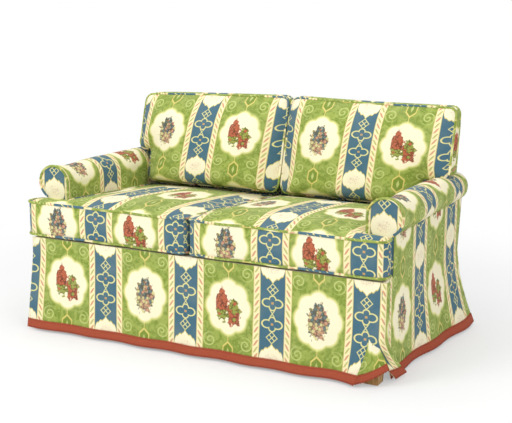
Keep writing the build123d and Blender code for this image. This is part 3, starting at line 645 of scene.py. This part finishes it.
def edge_distance(x, y, corners):
    """Distance from points to the nearest side of an outline."""
    nearest = np.full_like(x, np.inf)
    for (x0, y0), (x1, y1) in outline_sides(corners):
        share = ((x - x0) * (x1 - x0) + (y - y0) * (y1 - y0)) / ((x1 - x0) ** 2 + (y1 - y0) ** 2)
        share = np.clip(share, 0, 1)
        nearest = np.minimum(nearest, np.hypot(x - x0 - share * (x1 - x0), y - y0 - share * (y1 - y0)))
    return nearest


def soften(x, y, corners, droop):
    """Rounds the outer corners, draws in the free side and lets its far end droop."""
    (left, low), (right, _) = corners[:2]
    for corner, sx, sy in ((0, 1, 1), (1, -1, 1), (2, -1, -1), (4, -1, -1), (5, 1, -1)):
        cx, cy = corners[corner]
        s = 1 - sx * (x - cx) / CORNER
        t = 1 - sy * (y - cy) / CORNER
        near = (s > 0) & (t > 0)
        x = np.where(near, cx + sx * CORNER * (1 - s * np.sqrt(np.clip(1 - t * t / 2, 0, 1))), x)
        y = np.where(near, cy + sy * CORNER * (1 - t * np.sqrt(np.clip(1 - s * s / 2, 0, 1))), y)
    fade = np.clip(1 - (y - low) / DRAW_REACH, 0, 1)
    along = np.clip((x - left) / (right - left), 0, 1)
    return x, y + fade * (DRAW * np.sin(pi * along) + droop * along**3)


def crowned(rise, deep, reach):
    """Height of a crown at a distance in from the seam."""
    return rise * (1 - (1 - np.clip(deep / reach, 0, 1)) ** CROWN_POWER)


class Cushion:
    """A boxed cushion with piping, drawn on its plan: x out from the sofa's middle, y in from the free
    side, and a height. Its kind says where the plan lies, and gives the seams, the crown and the print."""

    def __init__(self, kind, hand, sign, corners, droop, seed):
        self.kind = kind
        self.hand = hand
        self.sign = sign
        self.corners = corners
        self.droop = droop
        self.seed = seed
        self.body = f"{kind}_{hand}"
        (left, low), (right, _), (_, step), (inner, _), (_, high), _ = corners
        self.xs = grid_lines(left, inner, right)
        self.ys = grid_lines(low, step, high)

    def node(self, piece):
        """Name of one of the cushion's CAD nodes."""
        return f"{self.kind}_cushion_{piece}_{self.hand}"

    def put(self, x, y, height):
        """Points in the frame for places on the plan."""
        return self.place(*soften(x, y, self.corners, self.droop), height)

    def add_faces(self, cloth):
        """The crowned face, and the underside."""
        x, y = np.meshgrid(self.xs, self.ys)
        deep = edge_distance(x, y, self.corners)
        inner, step = self.corners[3]
        centre_x = (self.xs[:-1] + self.xs[1:]) / 2
        centre_y = (self.ys[:-1] + self.ys[1:]) / 2
        inside = (centre_x[None, :] < inner) | (centre_y[:, None] < step)
        back_seam, face_seam = self.seams(x, y)
        folds = np.sin((x + y) * 2 * pi / PUCKER_PITCH + 2 * wavy(x - y, self.seed + 2, 0.2))
        pucker = PUCKER * folds * np.exp(-deep / PUCKER_REACH)
        rumple = RUMPLE * wavy(x * 1.3 + y * 0.4, self.seed, 0.25) * wavy(y - x * 0.2, self.seed + 1, 0.22)
        face = face_seam + self.crown(x, y, deep) + (rumple + pucker) * ease(deep / 0.03)
        under = back_seam - UNDER_SWELL * ease(deep / 0.04)
        cloth.grid(self.put(x, y, face), self.prints(x, y), inside, pins=deep < NUDGE)
        cloth.grid(self.put(x, y, under), self.prints(x, y), inside, flip=True)

    def add_border(self, cloth):
        """The border, side after side. Gives the plan of the seams along it."""
        rim = []
        share = np.linspace(0, 1, 9)[None, :]
        for side, ((x0, y0), (x1, y1)) in enumerate(outline_sides(self.corners)):
            level = y0 == y1
            first, last = (x0, x1) if level else (y0, y1)
            run = self.xs if level else self.ys
            run = run[(run >= min(first, last) - HAIR) & (run <= max(first, last) + HAIR)]
            run = run if last > first else run[::-1]
            rx, ry = (run, np.full_like(run, y0)) if level else (np.full_like(run, x0), run)
            rim += list(zip(rx[:-1], ry[:-1]))
            rx, ry = rx[:, None], ry[:, None]
            length = np.hypot(x1 - x0, y1 - y0)
            end = np.minimum(np.hypot(rx - x0, ry - y0), np.hypot(rx - x1, ry - y1))
            puff = (side != ZIP_SIDE) * BORDER_SWELL * np.sin(pi * share) * ease(end / 0.06)
            bx = rx + (y1 - y0) / length * puff
            by = ry - (x1 - x0) / length * puff
            low_seam, high_seam = self.seams(rx, ry)
            height = low_seam + (high_seam - low_seam) * share
            held = np.broadcast_to((share < 0.01) | (share > 0.99) | (side == ZIP_SIDE), bx.shape)
            prints = self.border_prints(bx, by, height, side)
            cloth.grid(self.put(bx, by, height), prints, flip=True, pins=held)
        return np.array(rim)

    def build(self):
        """The cover, swollen by its filling, and the piping on both seams."""
        cloth = Cloth()
        self.add_faces(cloth)
        rim_x, rim_y = self.add_border(cloth).T
        name = f"{self.kind}_cushion_{self.hand}_visual"
        obj = cloth.build(name, printed, closed=True)
        plump(obj, PRESSURE, STEPS, MOST_SWELL)
        dress(obj, self.node("cover"), self.node("filling"), body=self.body)
        wobble = PIPING_WOBBLE * wavy(rim_x + rim_y, self.seed + 5, 0.15)
        for tag, height in zip(("rear", "face"), self.seams(rim_x, rim_y)):
            path = self.put(rim_x, rim_y, height + wobble)
            cord = piping(f"{name}_{tag}_piping", path, CORD, True)
            dress(cord, self.node("piping"), body=self.body)

    def add_zip(self, y, z, across):
        """A zip's tape and teeth: a strip along X, its width along `across`."""
        widths, lengths = np.linspace(-TAPE_HALF, TAPE_HALF, 3), np.linspace(-ZIP_HALF, ZIP_HALF, 60)
        share, along = np.meshgrid(widths, lengths)
        middle = np.array((self.sign * ZIP_X, y, z))
        points = middle + stack(along, 0, 0) + share[..., None] * np.array(across)
        name = f"{self.kind}_zip_{self.hand}_visual"
        tape = panel(name, points, stack(along, share), zip_tape, TAPE)
        dress(tape, self.node("cover"), body=self.body, slot="zip_brass")


class SeatCushion(Cushion):
    """Its plan lies level, with the front as the free side and the lug in front of the arm."""

    def __init__(self, hand, sign, start, lug_end, rise, shift, close):
        corners = l_corners(start, ARM_SIDE, lug_end, SEAT_FRONT, SEAT_LUG, SEAT_REAR)
        super().__init__("seat", hand, sign, corners, droop=0.0, seed=11 + sign)
        self.rise = rise
        self.shift = shift
        self.close = close

    def place(self, x, y, height):
        return stack(self.sign * x, y, height)

    def seams(self, x, y):
        fall = SEAT_FALL * np.clip((y - FALL_FROM) / FALL_LENGTH, 0, 1)
        return np.full_like(x, SEAT_SEAMS[0]), SEAT_SEAMS[1] - fall

    def crown(self, x, y, deep):
        rise = self.rise - SEAT_WORN * ease((y - WORN_FROM) / WORN_LENGTH)
        return crowned(rise, deep, SEAT_EDGE)

    def prints(self, x, y):
        along = (y - SEAT_FRONT) * self.close
        return stack(self.sign * x + self.shift, SEAT_SEAMS[1] - SEAT_LEVEL + along)

    def border_prints(self, x, y, height, side):
        along = self.sign * x if side % 2 == 0 else y
        return stack(along + self.shift, height - SEAT_LEVEL)


def fallen(y):
    """0 at the top of a back cushion and 1 at its bottom."""
    return np.clip((y + BACK_TOP_EDGE) / (BACK_TOP_EDGE - BACK_BOTTOM_EDGE), 0, 1)


def sag(y):
    """How far the face of a back cushion has sunk."""
    return SAG * ease((fallen(y) - SAG_START) / (1 - SAG_START))


class BackCushion(Cushion):
    """Its plan leans on the fixed back: y is the height downwards, with the top as the free side, and the
    plan's height is forward. The lug is over the arm."""

    def __init__(self, hand, sign, start, lug, lug_end, bulge, droop, shift):
        corners = l_corners(start, ARM_SIDE, lug_end, -BACK_TOP_EDGE, -lug, -BACK_BOTTOM_EDGE)
        super().__init__("back", hand, sign, corners, droop, seed=21 + sign)
        self.start = start
        self.bulge = bulge
        self.shift = shift

    def place(self, x, y, height):
        z = -y - sag(y) * ease((height - SAG_FROM) / SAG_DEPTH)
        return stack(self.sign * x, back_y(z, height), z)

    def seams(self, x, y):
        return np.full_like(x, BACK_REST), BACK_THIN + BACK_GAIN * fallen(y)

    def crown(self, x, y, deep):
        rise = self.bulge * (BACK_RISE + BACK_RISE_GAIN * fallen(y) ** 0.8)
        beside = np.minimum(x - self.start, ARM_SIDE - x) - (-BACK_BOTTOM_EDGE - y)
        tight = 1 + TIGHT * ease((fallen(y) - 0.5) / 0.4) * ease(beside / TIGHT_REACH)
        return crowned(rise, deep * tight, BACK_EDGE)

    def prints(self, x, y):
        return stack(self.sign * x + self.shift, (BACK_LEVEL - y - sag(y)) * LEAN)

    def border_prints(self, x, y, height, side):
        if side % 2 == 0:
            return stack(self.sign * x + self.shift, height + (BACK_TOP_EDGE + BACK_LEVEL) * LEAN)
        return stack(height + BACK_SIDE_SHIFT, (BACK_LEVEL - y) * LEAN)


for hand, sign in HANDS:
    seat = SeatCushion(hand, sign, **SEATS[hand])
    seat.build()
    seat.add_zip(SEAT_REAR + SEAT_ZIP_PROUD, sum(SEAT_SEAMS) / 2, (0, 0, 1))
    back = BackCushion(hand, sign, **BACKS[hand])
    back.build()
    back.add_zip(back_y(BACK_BOTTOM_EDGE, BACK_ZIP_OUT), BACK_BOTTOM_EDGE - BACK_ZIP_PROUD, (0, 1, 0))

# Arms: cover over the roll, facing and its piping
ARM_FOOT, FACING_FOOT = 0.345, PLATFORM + 0.002  # lower edges of the inside cover and of the facing
ARM_COVER = 0.002
ROLL_DROP = {"left": 0.005, "right": 0.011}  # how far the padding of each roll has settled
DROP_FROM, DROP_HEIGHT = 0.44, 0.10  # heights over which that grows
ROLL_RECESS = 0.006  # from the outside back to the roll's rear end
ROLL_REAR = OUTSIDE_BACK + ROLL_RECESS
BOARD_BACK = ARM_BODY + 0.012  # rear of the wooden board behind an arm's facing
SLACK = 0.05  # length over which the cover goes slack behind the board
THIN_FROM, THIN_LENGTH = 0.05, 0.3  # where along Y a roll grows thinner
FACING_SWELL = 0.005
FACING_SHIFT, FACING_LEVEL = 0.004, 0.670  # of the print
turns = np.linspace(pi, ROLL_END, 34)
shaft = stack(ARM_INNER, np.linspace(ARM_FOOT, ROLL_Z, 14)[:-1])
roll = stack(ROLL_X + ROLL_RADIUS * np.cos(turns), ROLL_Z + ROLL_RADIUS * np.sin(turns))
inner_edge = stack(ARM_INNER, np.linspace(FACING_FOOT, ROLL_Z, 12)[:-1])
outer_edge = stack(ARM_OUTER, np.linspace(roll[-1, 1], FACING_FOOT, 8)[1:-1])
lower_edge = stack(np.linspace(ARM_OUTER, ARM_INNER, 6), FACING_FOOT)


def arm_cover(hand, sign):
    """Cover from the deck up over the roll, closed at the roll's rear end."""
    arm_u, arm_v = PRINT["arm"]
    profile = np.concatenate([shaft, roll])
    px, pz = profile.T[:, None, :]
    run = np.concatenate([[0], np.cumsum(np.hypot(*np.diff(profile, axis=0).T))])[None, :]
    up_roll = run - run[0, len(shaft)]
    y = ARM_BODY + np.linspace(0, 1, 60)[:, None] * (back_y(pz, ROLL_REAR) - ARM_BODY)
    thin = ease((y - THIN_FROM) / THIN_LENGTH)
    slack = ease((y - BOARD_BACK) / SLACK)
    swell = 0.04 * wavy(y, 31 + sign, 0.4) - 0.02 - (0.12 + 0.04 * sign) * thin
    swell = 1 + ease(up_roll / 0.03) * swell * slack
    x = ROLL_X + (px - ROLL_X) * swell
    z = ROLL_Z + (pz - ROLL_Z) * np.where(pz > ROLL_Z, swell, 1)
    z = z - ROLL_DROP[hand] * slack * (1 + 0.8 * thin) * ease((z - DROP_FROM) / DROP_HEIGHT)
    points = stack(sign * x, y, z)
    cloth = Cloth()
    cloth.grid(points, stack(y + arm_u, up_roll + arm_v), flip=sign < 0)
    centre = np.array([sign * ROLL_X, back_y(ROLL_Z, ROLL_REAR), ROLL_Z])
    cap = centre + np.linspace(1, 0, 5)[:, None, None] * (points[-1, len(shaft):] - centre)[None]
    cloth.grid(cap, stack(cap[..., 0], cap[..., 2]), flip=sign < 0)
    arm = cloth.build(f"arm_{hand}_visual", printed, ARM_COVER)
    dress(arm, f"inside_arm_cover_{hand}", f"arm_pad_{hand}")


def arm_facing(hand, sign):
    """Domed front of an arm, and the piping up its inner side and round the roll."""
    outline = np.concatenate([inner_edge, roll, outer_edge, lower_edge])
    centre = np.array([ROLL_X - 0.008, ROLL_Z - 0.02])
    rings = np.linspace(0, 1, 9)[:, None]
    flat = centre + rings[..., None] * (outline - centre)[None]
    dome = ARM_FRONT - FACING_SWELL * (1 - rings**3)
    points = stack(sign * flat[..., 0], dome, flat[..., 1])
    prints = stack(flat[..., 0] - ROLL_X + FACING_SHIFT, flat[..., 1] - FACING_LEVEL)
    facing = panel(f"arm_facing_{hand}_visual", points, prints, printed, flip=sign < 0)
    dress(facing, f"arm_facing_{hand}")
    edge = np.concatenate([inner_edge, roll])
    path = stack(sign * edge[:, 0], ARM_FRONT - 0.001, edge[:, 1])
    cord = piping(f"arm_facing_{hand}_piping", path, CORD, False)
    dress(cord, "arm_facing_welts")


for hand, sign in HANDS:
    arm_cover(hand, sign)
    arm_facing(hand, sign)

# Platform under the cushions and dust cover under the rails
LINING_HALF, LINING_FRONT = 0.677, BORDER_Y + 0.003
RAILS = ["front_rail", "back_rail"]


def lining_sheet(name, rear, level, sink, middle, half, thickness, flip):
    """Lining stretched from front to rear, and sunk about a middle Y. Gives the piece and its grid."""
    x, y = np.meshgrid(np.linspace(-LINING_HALF, LINING_HALF, 40), np.linspace(LINING_FRONT, rear, 24))
    across = np.cos(x / LINING_HALF * pi / 2)
    along = np.cos((y - middle) / half * pi / 2)
    points = stack(x, y, level - sink * across * along)
    return panel(name, points, stack(x, y), lining, thickness, flip), points


DECK = dict(rear=0.27, level=PLATFORM - 0.001, sink=0.004, middle=-0.07, half=0.34, thickness=0.002)
deck, points = lining_sheet("deck_visual", **DECK, flip=False)
dress(deck, "deck_cover", "deck_pad", "seat_hessian", slot="lining")
hang_sheet(deck, [points], RAILS)
DUST = dict(rear=0.325, level=0.1712, sink=0.010, middle=-0.043, half=0.37, thickness=0.001)
dust, points = lining_sheet("dust_cover_visual", **DUST, flip=True)
dress(dust, "dust_cover", slot="lining")
hang_sheet(dust, [points], [*RAILS, "side_rail_left", "side_rail_right"])

# Fixed back: front, crest and ends, padded over webbing
CREST_SWELL, END_SWELL = 0.006, 0.005
rear_u, rear_v = PRINT["rear"]
cloth = Cloth()
for half, low, high in ((BACK_NARROW, PLATFORM, OVER_ARM), (BACK_WIDE, OVER_ARM, BACK_TOP)):
    x, z = np.meshgrid(np.linspace(-half, half, 70), np.linspace(low, high, 12))
    cloth.grid(stack(x, back_y(z, 0), z), stack(x + rear_u, z + BACK_LEVEL))
w = np.linspace(0, OUTSIDE_BACK, 8)
swell = np.sin(w / OUTSIDE_BACK * pi)
bow, crest = BACK_WIDE + END_SWELL * swell, BACK_TOP + CREST_SWELL * swell
x = np.linspace(-1, 1, 70)[None, :] * bow[:, None]
across = stack(x + rear_u, BACK_TOP + BACK_LEVEL - w[:, None])
cloth.grid(stack(x, back_y(BACK_TOP, w)[:, None], crest[:, None]), across)
for _, sign in HANDS:
    z = OVER_ARM + np.linspace(0, 1, 12)[:, None] * (crest - OVER_ARM)
    y = back_y(np.minimum(z, BACK_TOP), w)
    cloth.grid(stack(sign * bow, y, z), stack(w + END_SHIFT, z + BACK_LEVEL), flip=sign < 0)
inside_back = cloth.build("inside_back_visual", printed)
dress(inside_back, "inside_back_cover", "back_pad", "back_webbing")

# Skirts: straight from their tops, flared and folded towards the hem
BRAID_PROUD, BRAID_THICK = 0.0028, 0.0022
TOOTH, TOOTH_STEP = 0.0026, 0.004  # small points along the braid's edges
FRONT_LEFT, FRONT_CORNER = -0.690, 0.692
FRONT_WRAP = 0.026  # how far the front goes round its right corner
FRONT_RIGHT = FRONT_CORNER + FRONT_WRAP
FRONT_FLARE, FRONT_FOLD, LEFT_DRAW = 0.015, 0.006, 0.026
SLIT, SLIT_TOP = 0.641, 0.165  # open kick pleat at the front's right end
SLIT_ASIDE, SLIT_OUT, SLIT_REACH = 0.043, 0.010, 0.05  # how the cloth left of it is pulled away
FLAP = ((0.697, -0.322), (0.706, -0.245))  # hem of the flap beside it, from the slit to the corner
PLEAT_LEG, PLEAT_BEHIND, PLEAT_WITHIN = 0.07, 0.008, 0.006
FRONT_PLEAT, REAR_PLEAT = (0.016, 0.012), (0.040, 0.034)  # how far the corner stands aside and out
SIDE_FLARE, SIDE_FLARE_GAIN, SIDE_FOLD = 0.004, 0.060, 0.006
REAR_FLARE, REAR_FOLD, REAR_WIDEN = 0.040, 0.008, 0.045
front_u, front_v = PRINT["front"]
side_u, side_v = PRINT["side"]
rear_top = back_y(SKIRT_TOP, OUTSIDE_BACK)
front_share = (BORDER_Y - ARM_BODY) / (rear_top - ARM_BODY)


def drop_share(z):
    """0 down to the skirt's top and 1 at the hem."""
    return np.clip((SKIRT_TOP - z) / (SKIRT_TOP - HEM), 0, 1.05)


def slit_share(z, most=1.0):
    """0 down to the slit's top and 1 at the hem."""
    return np.clip((SLIT_TOP - z) / (SLIT_TOP - HEM), 0, most)


def braid_band(name, point, s_from, s_to, flip):
    """Braid along a hem with small points on both edges. point(s, z, lift) is the panel's surface."""
    first, last = (point(np.array(s), np.array(HEM), 0.0) for s in (s_from, s_to))
    span = np.linalg.norm(first - last)
    count = round(span / TOOTH_STEP)
    s = np.linspace(s_from, s_to, count)[None, :]
    across = np.linspace(-0.5, 0.5, 6)[:, None]
    teeth = TOOTH * np.where(np.arange(count) % 2 == 0, 1, -0.3)[None, :] * (np.abs(across) > 0.49)
    z = HEM - 0.001 + BRAID * (across + 0.5) + teeth * np.sign(across)
    prints = stack(s * span / (s_to - s_from), across * BRAID)
    band = panel(name, point(s, z, BRAID_PROUD), prints, braid, BRAID_THICK, flip)
    return dress(band, "skirt_braid", slot="braid")


def front_point(s, z, lift=0.0):
    """Front skirt at a place along its top and a height. Right of the slit it wraps round the corner."""
    drop = drop_share(z)
    round_corner = np.clip(s - FRONT_CORNER, 0, None)
    x = s - 0.85 * round_corner - LEFT_DRAW * drop * np.clip((-s - 0.4) / 0.29, 0, 1) ** 2
    folds = FRONT_FOLD * wavy(s + 0 * z, 3, 0.30) * drop**1.4
    y = BORDER_Y + round_corner - FRONT_FLARE * drop**1.2 - folds - lift
    opened = slit_share(z) ** 1.3
    beside = np.exp(-np.clip(SLIT - s, 0, None) / SLIT_REACH)
    share = np.clip((s - SLIT) / (FRONT_RIGHT - SLIT), 0, 1)
    flap_x = FLAP[0][0] + share * (FLAP[1][0] - FLAP[0][0]) + lift * 1.5
    flap_y = FLAP[0][1] + share * (FLAP[1][1] - FLAP[0][1])
    right = s > SLIT
    x = np.where(right, x + (flap_x - x) * opened, x - SLIT_ASIDE * opened * beside)
    y = np.where(right, y + (flap_y - y) * opened, y - SLIT_OUT * opened * beside)
    return stack(x, y, z + 0 * s)


z = through(PLATFORM, SLIT_TOP, HEM, 18, 18)[:, None]
cloth = Cloth()
grids = []
for tag, s_from, s_to, columns in (
    ("skirt", FRONT_LEFT, SLIT, 130),
    ("flap", SLIT + NUDGE, FRONT_RIGHT, 9),
):
    s = np.linspace(s_from, s_to, columns)[None, :]
    grids.append(front_point(s, z))
    cloth.grid(grids[-1], stack(s + front_u, z + front_v), flip=True)
    braid_band(f"front_{tag}_braid", front_point, s_from, s_to, False)
front = cloth.build("front_skirt_visual", printed, COTTON)
dress(front, "front_skirt")
hang_sheet(front, grids, ["front_rail"])


# Kick pleats behind the corners: a fold of the same cloth, closed at three of them
def closed_pleat(corner_y, inward, sign, aside, out):
    """Surface of a pleat whose corner stands aside and out by these lengths at the hem."""

    def point(s, z, lift=0.0):
        drop = drop_share(z)
        x = ARM_OUTER - PLEAT_WITHIN + aside * drop + np.minimum(s, 0) + lift
        y = corner_y - inward * (out * drop - PLEAT_BEHIND + lift - np.maximum(s, 0))
        return stack(sign * x, y, z + 0 * s)

    return point


def open_pleat(s, z, lift=0.0):
    """The fold in the open corner: it leaves the front skirt's edge at s = 0 and runs back to s = 1."""
    share = slit_share(z, 1.05)
    edge = front_point(np.array(SLIT), z, lift)
    x = edge[..., 0] + s * (0.012 + 0.092 * share)
    y = edge[..., 1] + s**1.3 * (0.006 + 0.034 * share) + 0.012 * share * (1 - np.exp(-s / 0.06))
    return stack(x, y, z + 0.052 * share * s**1.5)


def hang_panel(name, node, point, s, z, across, rise, rails, flip, keep=None):
    """A cover with braid along its hem, from its surface and the print across it and up it."""
    points = point(s, z)
    piece = panel(f"{name}_visual", points, stack(across, z + rise), printed, COTTON, flip, keep)
    dress(piece, node)
    band = braid_band(f"{name}_braid", point, s[0, 0], s[0, -1], not flip)
    hang_sheet(piece, [points], rails)


s = np.linspace(-PLEAT_LEG, PLEAT_LEG, 21)[None, :]
z = np.linspace(RAIL_BOTTOM, HEM, 14)[:, None]
for tag, corner_y, inward, sign, stand, rail in (
    ("front_left", BORDER_Y, 1, -1, FRONT_PLEAT, "front_rail"),
    ("back_left", rear_top, -1, -1, REAR_PLEAT, "back_rail"),
    ("back_right", rear_top, -1, 1, REAR_PLEAT, "back_rail"),
):
    point = closed_pleat(corner_y, inward, sign, *stand)
    across, flip = s + END_SHIFT, sign * inward > 0
    hang_panel(f"pleat_{tag}", "corner_pleats", point, s, z, across, front_v, [rail], flip)
s = np.linspace(0, 1, 14)[None, :]
z = np.linspace(SLIT_TOP, HEM, 16)[:, None]
name, node, across, rails = "pleat_front_right", "corner_pleats", s * 0.10 + 0.09, ["front_rail"]
hang_panel(name, node, open_pleat, s, z, across, front_v, rails, True)


# Sides: one cloth from the roll of the arm down to the hem
def side_surface(sign):
    """Side at a share of its length, 0 at the arm's front and 1 at the rear, and a height."""

    def point(s, z, lift=0.0):
        drop = drop_share(z)
        rear = back_y(np.maximum(z, SKIRT_TOP), OUTSIDE_BACK) + REAR_FLARE * drop**1.6
        s = np.where((s < 0) & (sign > 0), s * (1 - 0.9 * slit_share(z) ** 0.7), s)
        y = ARM_BODY + s * (rear - ARM_BODY)
        flare = SIDE_FLARE + SIDE_FLARE_GAIN * ease((s + 0.1) / 1.1) ** 1.5
        folds = SIDE_FOLD * wavy(s * 0.7 + 0 * z, 7 + sign, 0.27) * ease((s + 0.3) / 0.4)
        x = ARM_OUTER + flare * drop**1.5 + folds * drop**1.3 + lift
        return stack(sign * x, y, z + 0 * s)

    return point


s = through(front_share, 0, 1, 13, 70)[None, :]
z = through(SIDE_TOP, PLATFORM, HEM, 12, 36)[:, None]
keep = (s[:, :-1] > -HAIR) | (z[1:] < PLATFORM - HAIR)
for hand, sign in HANDS:
    side_point = side_surface(sign)
    node = f"outside_arm_cover_{hand}"
    rails = [f"side_rail_{hand}", "arm_top_rails"]
    across = side_point(s, z)[..., 1] + side_u
    hang_panel(f"outside_arm_{hand}", node, side_point, s, z, across, side_v, rails, sign > 0, keep)


def rear_point(s, z, lift=0.0):
    """Outside back and its skirt at a place along it and a height."""
    drop = drop_share(z)
    y = back_y(np.maximum(z, SKIRT_TOP), OUTSIDE_BACK) + REAR_FLARE * drop**1.3
    y = y + REAR_FOLD * wavy(s + 0 * z, 14, 0.3) * drop**1.4
    return stack(s * (1 + REAR_WIDEN * drop), y + lift, z + 0 * s)


edges = np.linspace(BACK_WIDE, ARM_OUTER, 4)
s = np.concatenate([-edges[::-1], np.linspace(-BACK_WIDE, BACK_WIDE, 110)[1:-1], edges])[None, :]
z = through(BACK_TOP, OVER_ARM, HEM, 12, 50)[:, None]
keep = (np.abs(s[:, :-1] + s[:, 1:]) / 2 < BACK_WIDE) | (z[1:] < OVER_ARM - HAIR)
node, rails = "outside_back_cover", ["back_top_rail", "back_rail"]
hang_panel("outside_back", node, rear_point, s, z, s + rear_u, rear_v, rails, False, keep)

# Camera at the photograph's viewing angle
EYE = (1.911, -3.6536, 1.325)
YAW, PITCH = radians(27.35), radians(12.17)
LENS, SENSOR = 80.3, 36.0  # millimetres
look = Vector((-sin(YAW) * cos(PITCH), cos(YAW) * cos(PITCH), -sin(PITCH)))
camera_data = bpy.data.cameras.new("camera")
camera_data.lens = LENS
camera_data.sensor_width = SENSOR
camera = bpy.data.objects.new("camera", camera_data)
camera.location = EYE
camera.rotation_euler = look.to_track_quat("-Z", "Y").to_euler()
scene.collection.objects.link(camera)
scene.camera = camera


def seen_by(tree, *rays):
    """1 for rays of the named kinds, else 0."""
    paths = add_node(tree, "LightPath")
    first, *others = (Value(paths.outputs[f"Is {ray} Ray"]) for ray in rays)
    for other in others:
        first = first.max(other)
    return first


# Pale floor that keeps the sofa's shadow and turns white away from it
FLOOR = 30.0
SHADOW_EDGE, SHADOW_FADE, SHADOW_KEPT = 1.35, 0.75, 0.62
bpy.ops.mesh.primitive_plane_add(size=FLOOR)
floor = bpy.context.object
floor.name = "floor"
floor_material, tree, shader = new_material("floor", 0.9)
shader.inputs["Base Color"].default_value = (0.92, 0.92, 0.92, 1)
place = add_node(tree, "NewGeometry")
span = add_node(tree, "VectorMath")
span.operation = "LENGTH"
plug(span.inputs[0], Value(place.outputs["Position"]))
away = Value(span.outputs["Value"]).below(SHADOW_EDGE, SHADOW_FADE) * -SHADOW_KEPT + 1.0
glow = add_node(tree, "Emission")
blend = add_node(tree, "MixShader", Fac=away * seen_by(tree, "Camera", "Glossy"))
plug(blend.inputs[1], Value(shader.outputs["BSDF"]))
plug(blend.inputs[2], Value(glow.outputs["Emission"]))
plug(tree.nodes["Material Output"].inputs["Surface"], Value(blend.outputs["Shader"]))
floor.data.materials.append(floor_material)

# White surroundings to the eye, a softer grey to light by
GREY, WHITE = (0.50, 0.51, 0.52, 1), (1, 1, 1, 1)
world = bpy.data.worlds.new("world")
scene.world = world
world.use_nodes = True
tree = world.node_tree
surround = mix(seen_by(tree, "Camera", "Glossy", "Transmission"), GREY, WHITE)
plug(tree.nodes["Background"].inputs["Color"], surround)

# Three soft square lights aimed at the sofa: place, size and power
AIM = Vector((0, 0, 0.4))
for name, place, size, power in (
    ("key", (-1.6, -3.4, 3.0), 2.0, 85),
    ("fill", (3.4, -2.2, 2.2), 2.4, 45),
    ("top", (0, 0.2, 3.6), 3.0, 45),
):
    data = bpy.data.lights.new(name, "AREA")
    data.size = size
    data.energy = power
    light = bpy.data.objects.new(name, data)
    light.location = place
    light.rotation_euler = (AIM - Vector(place)).to_track_quat("-Z", "Y").to_euler()
    scene.collection.objects.link(light)
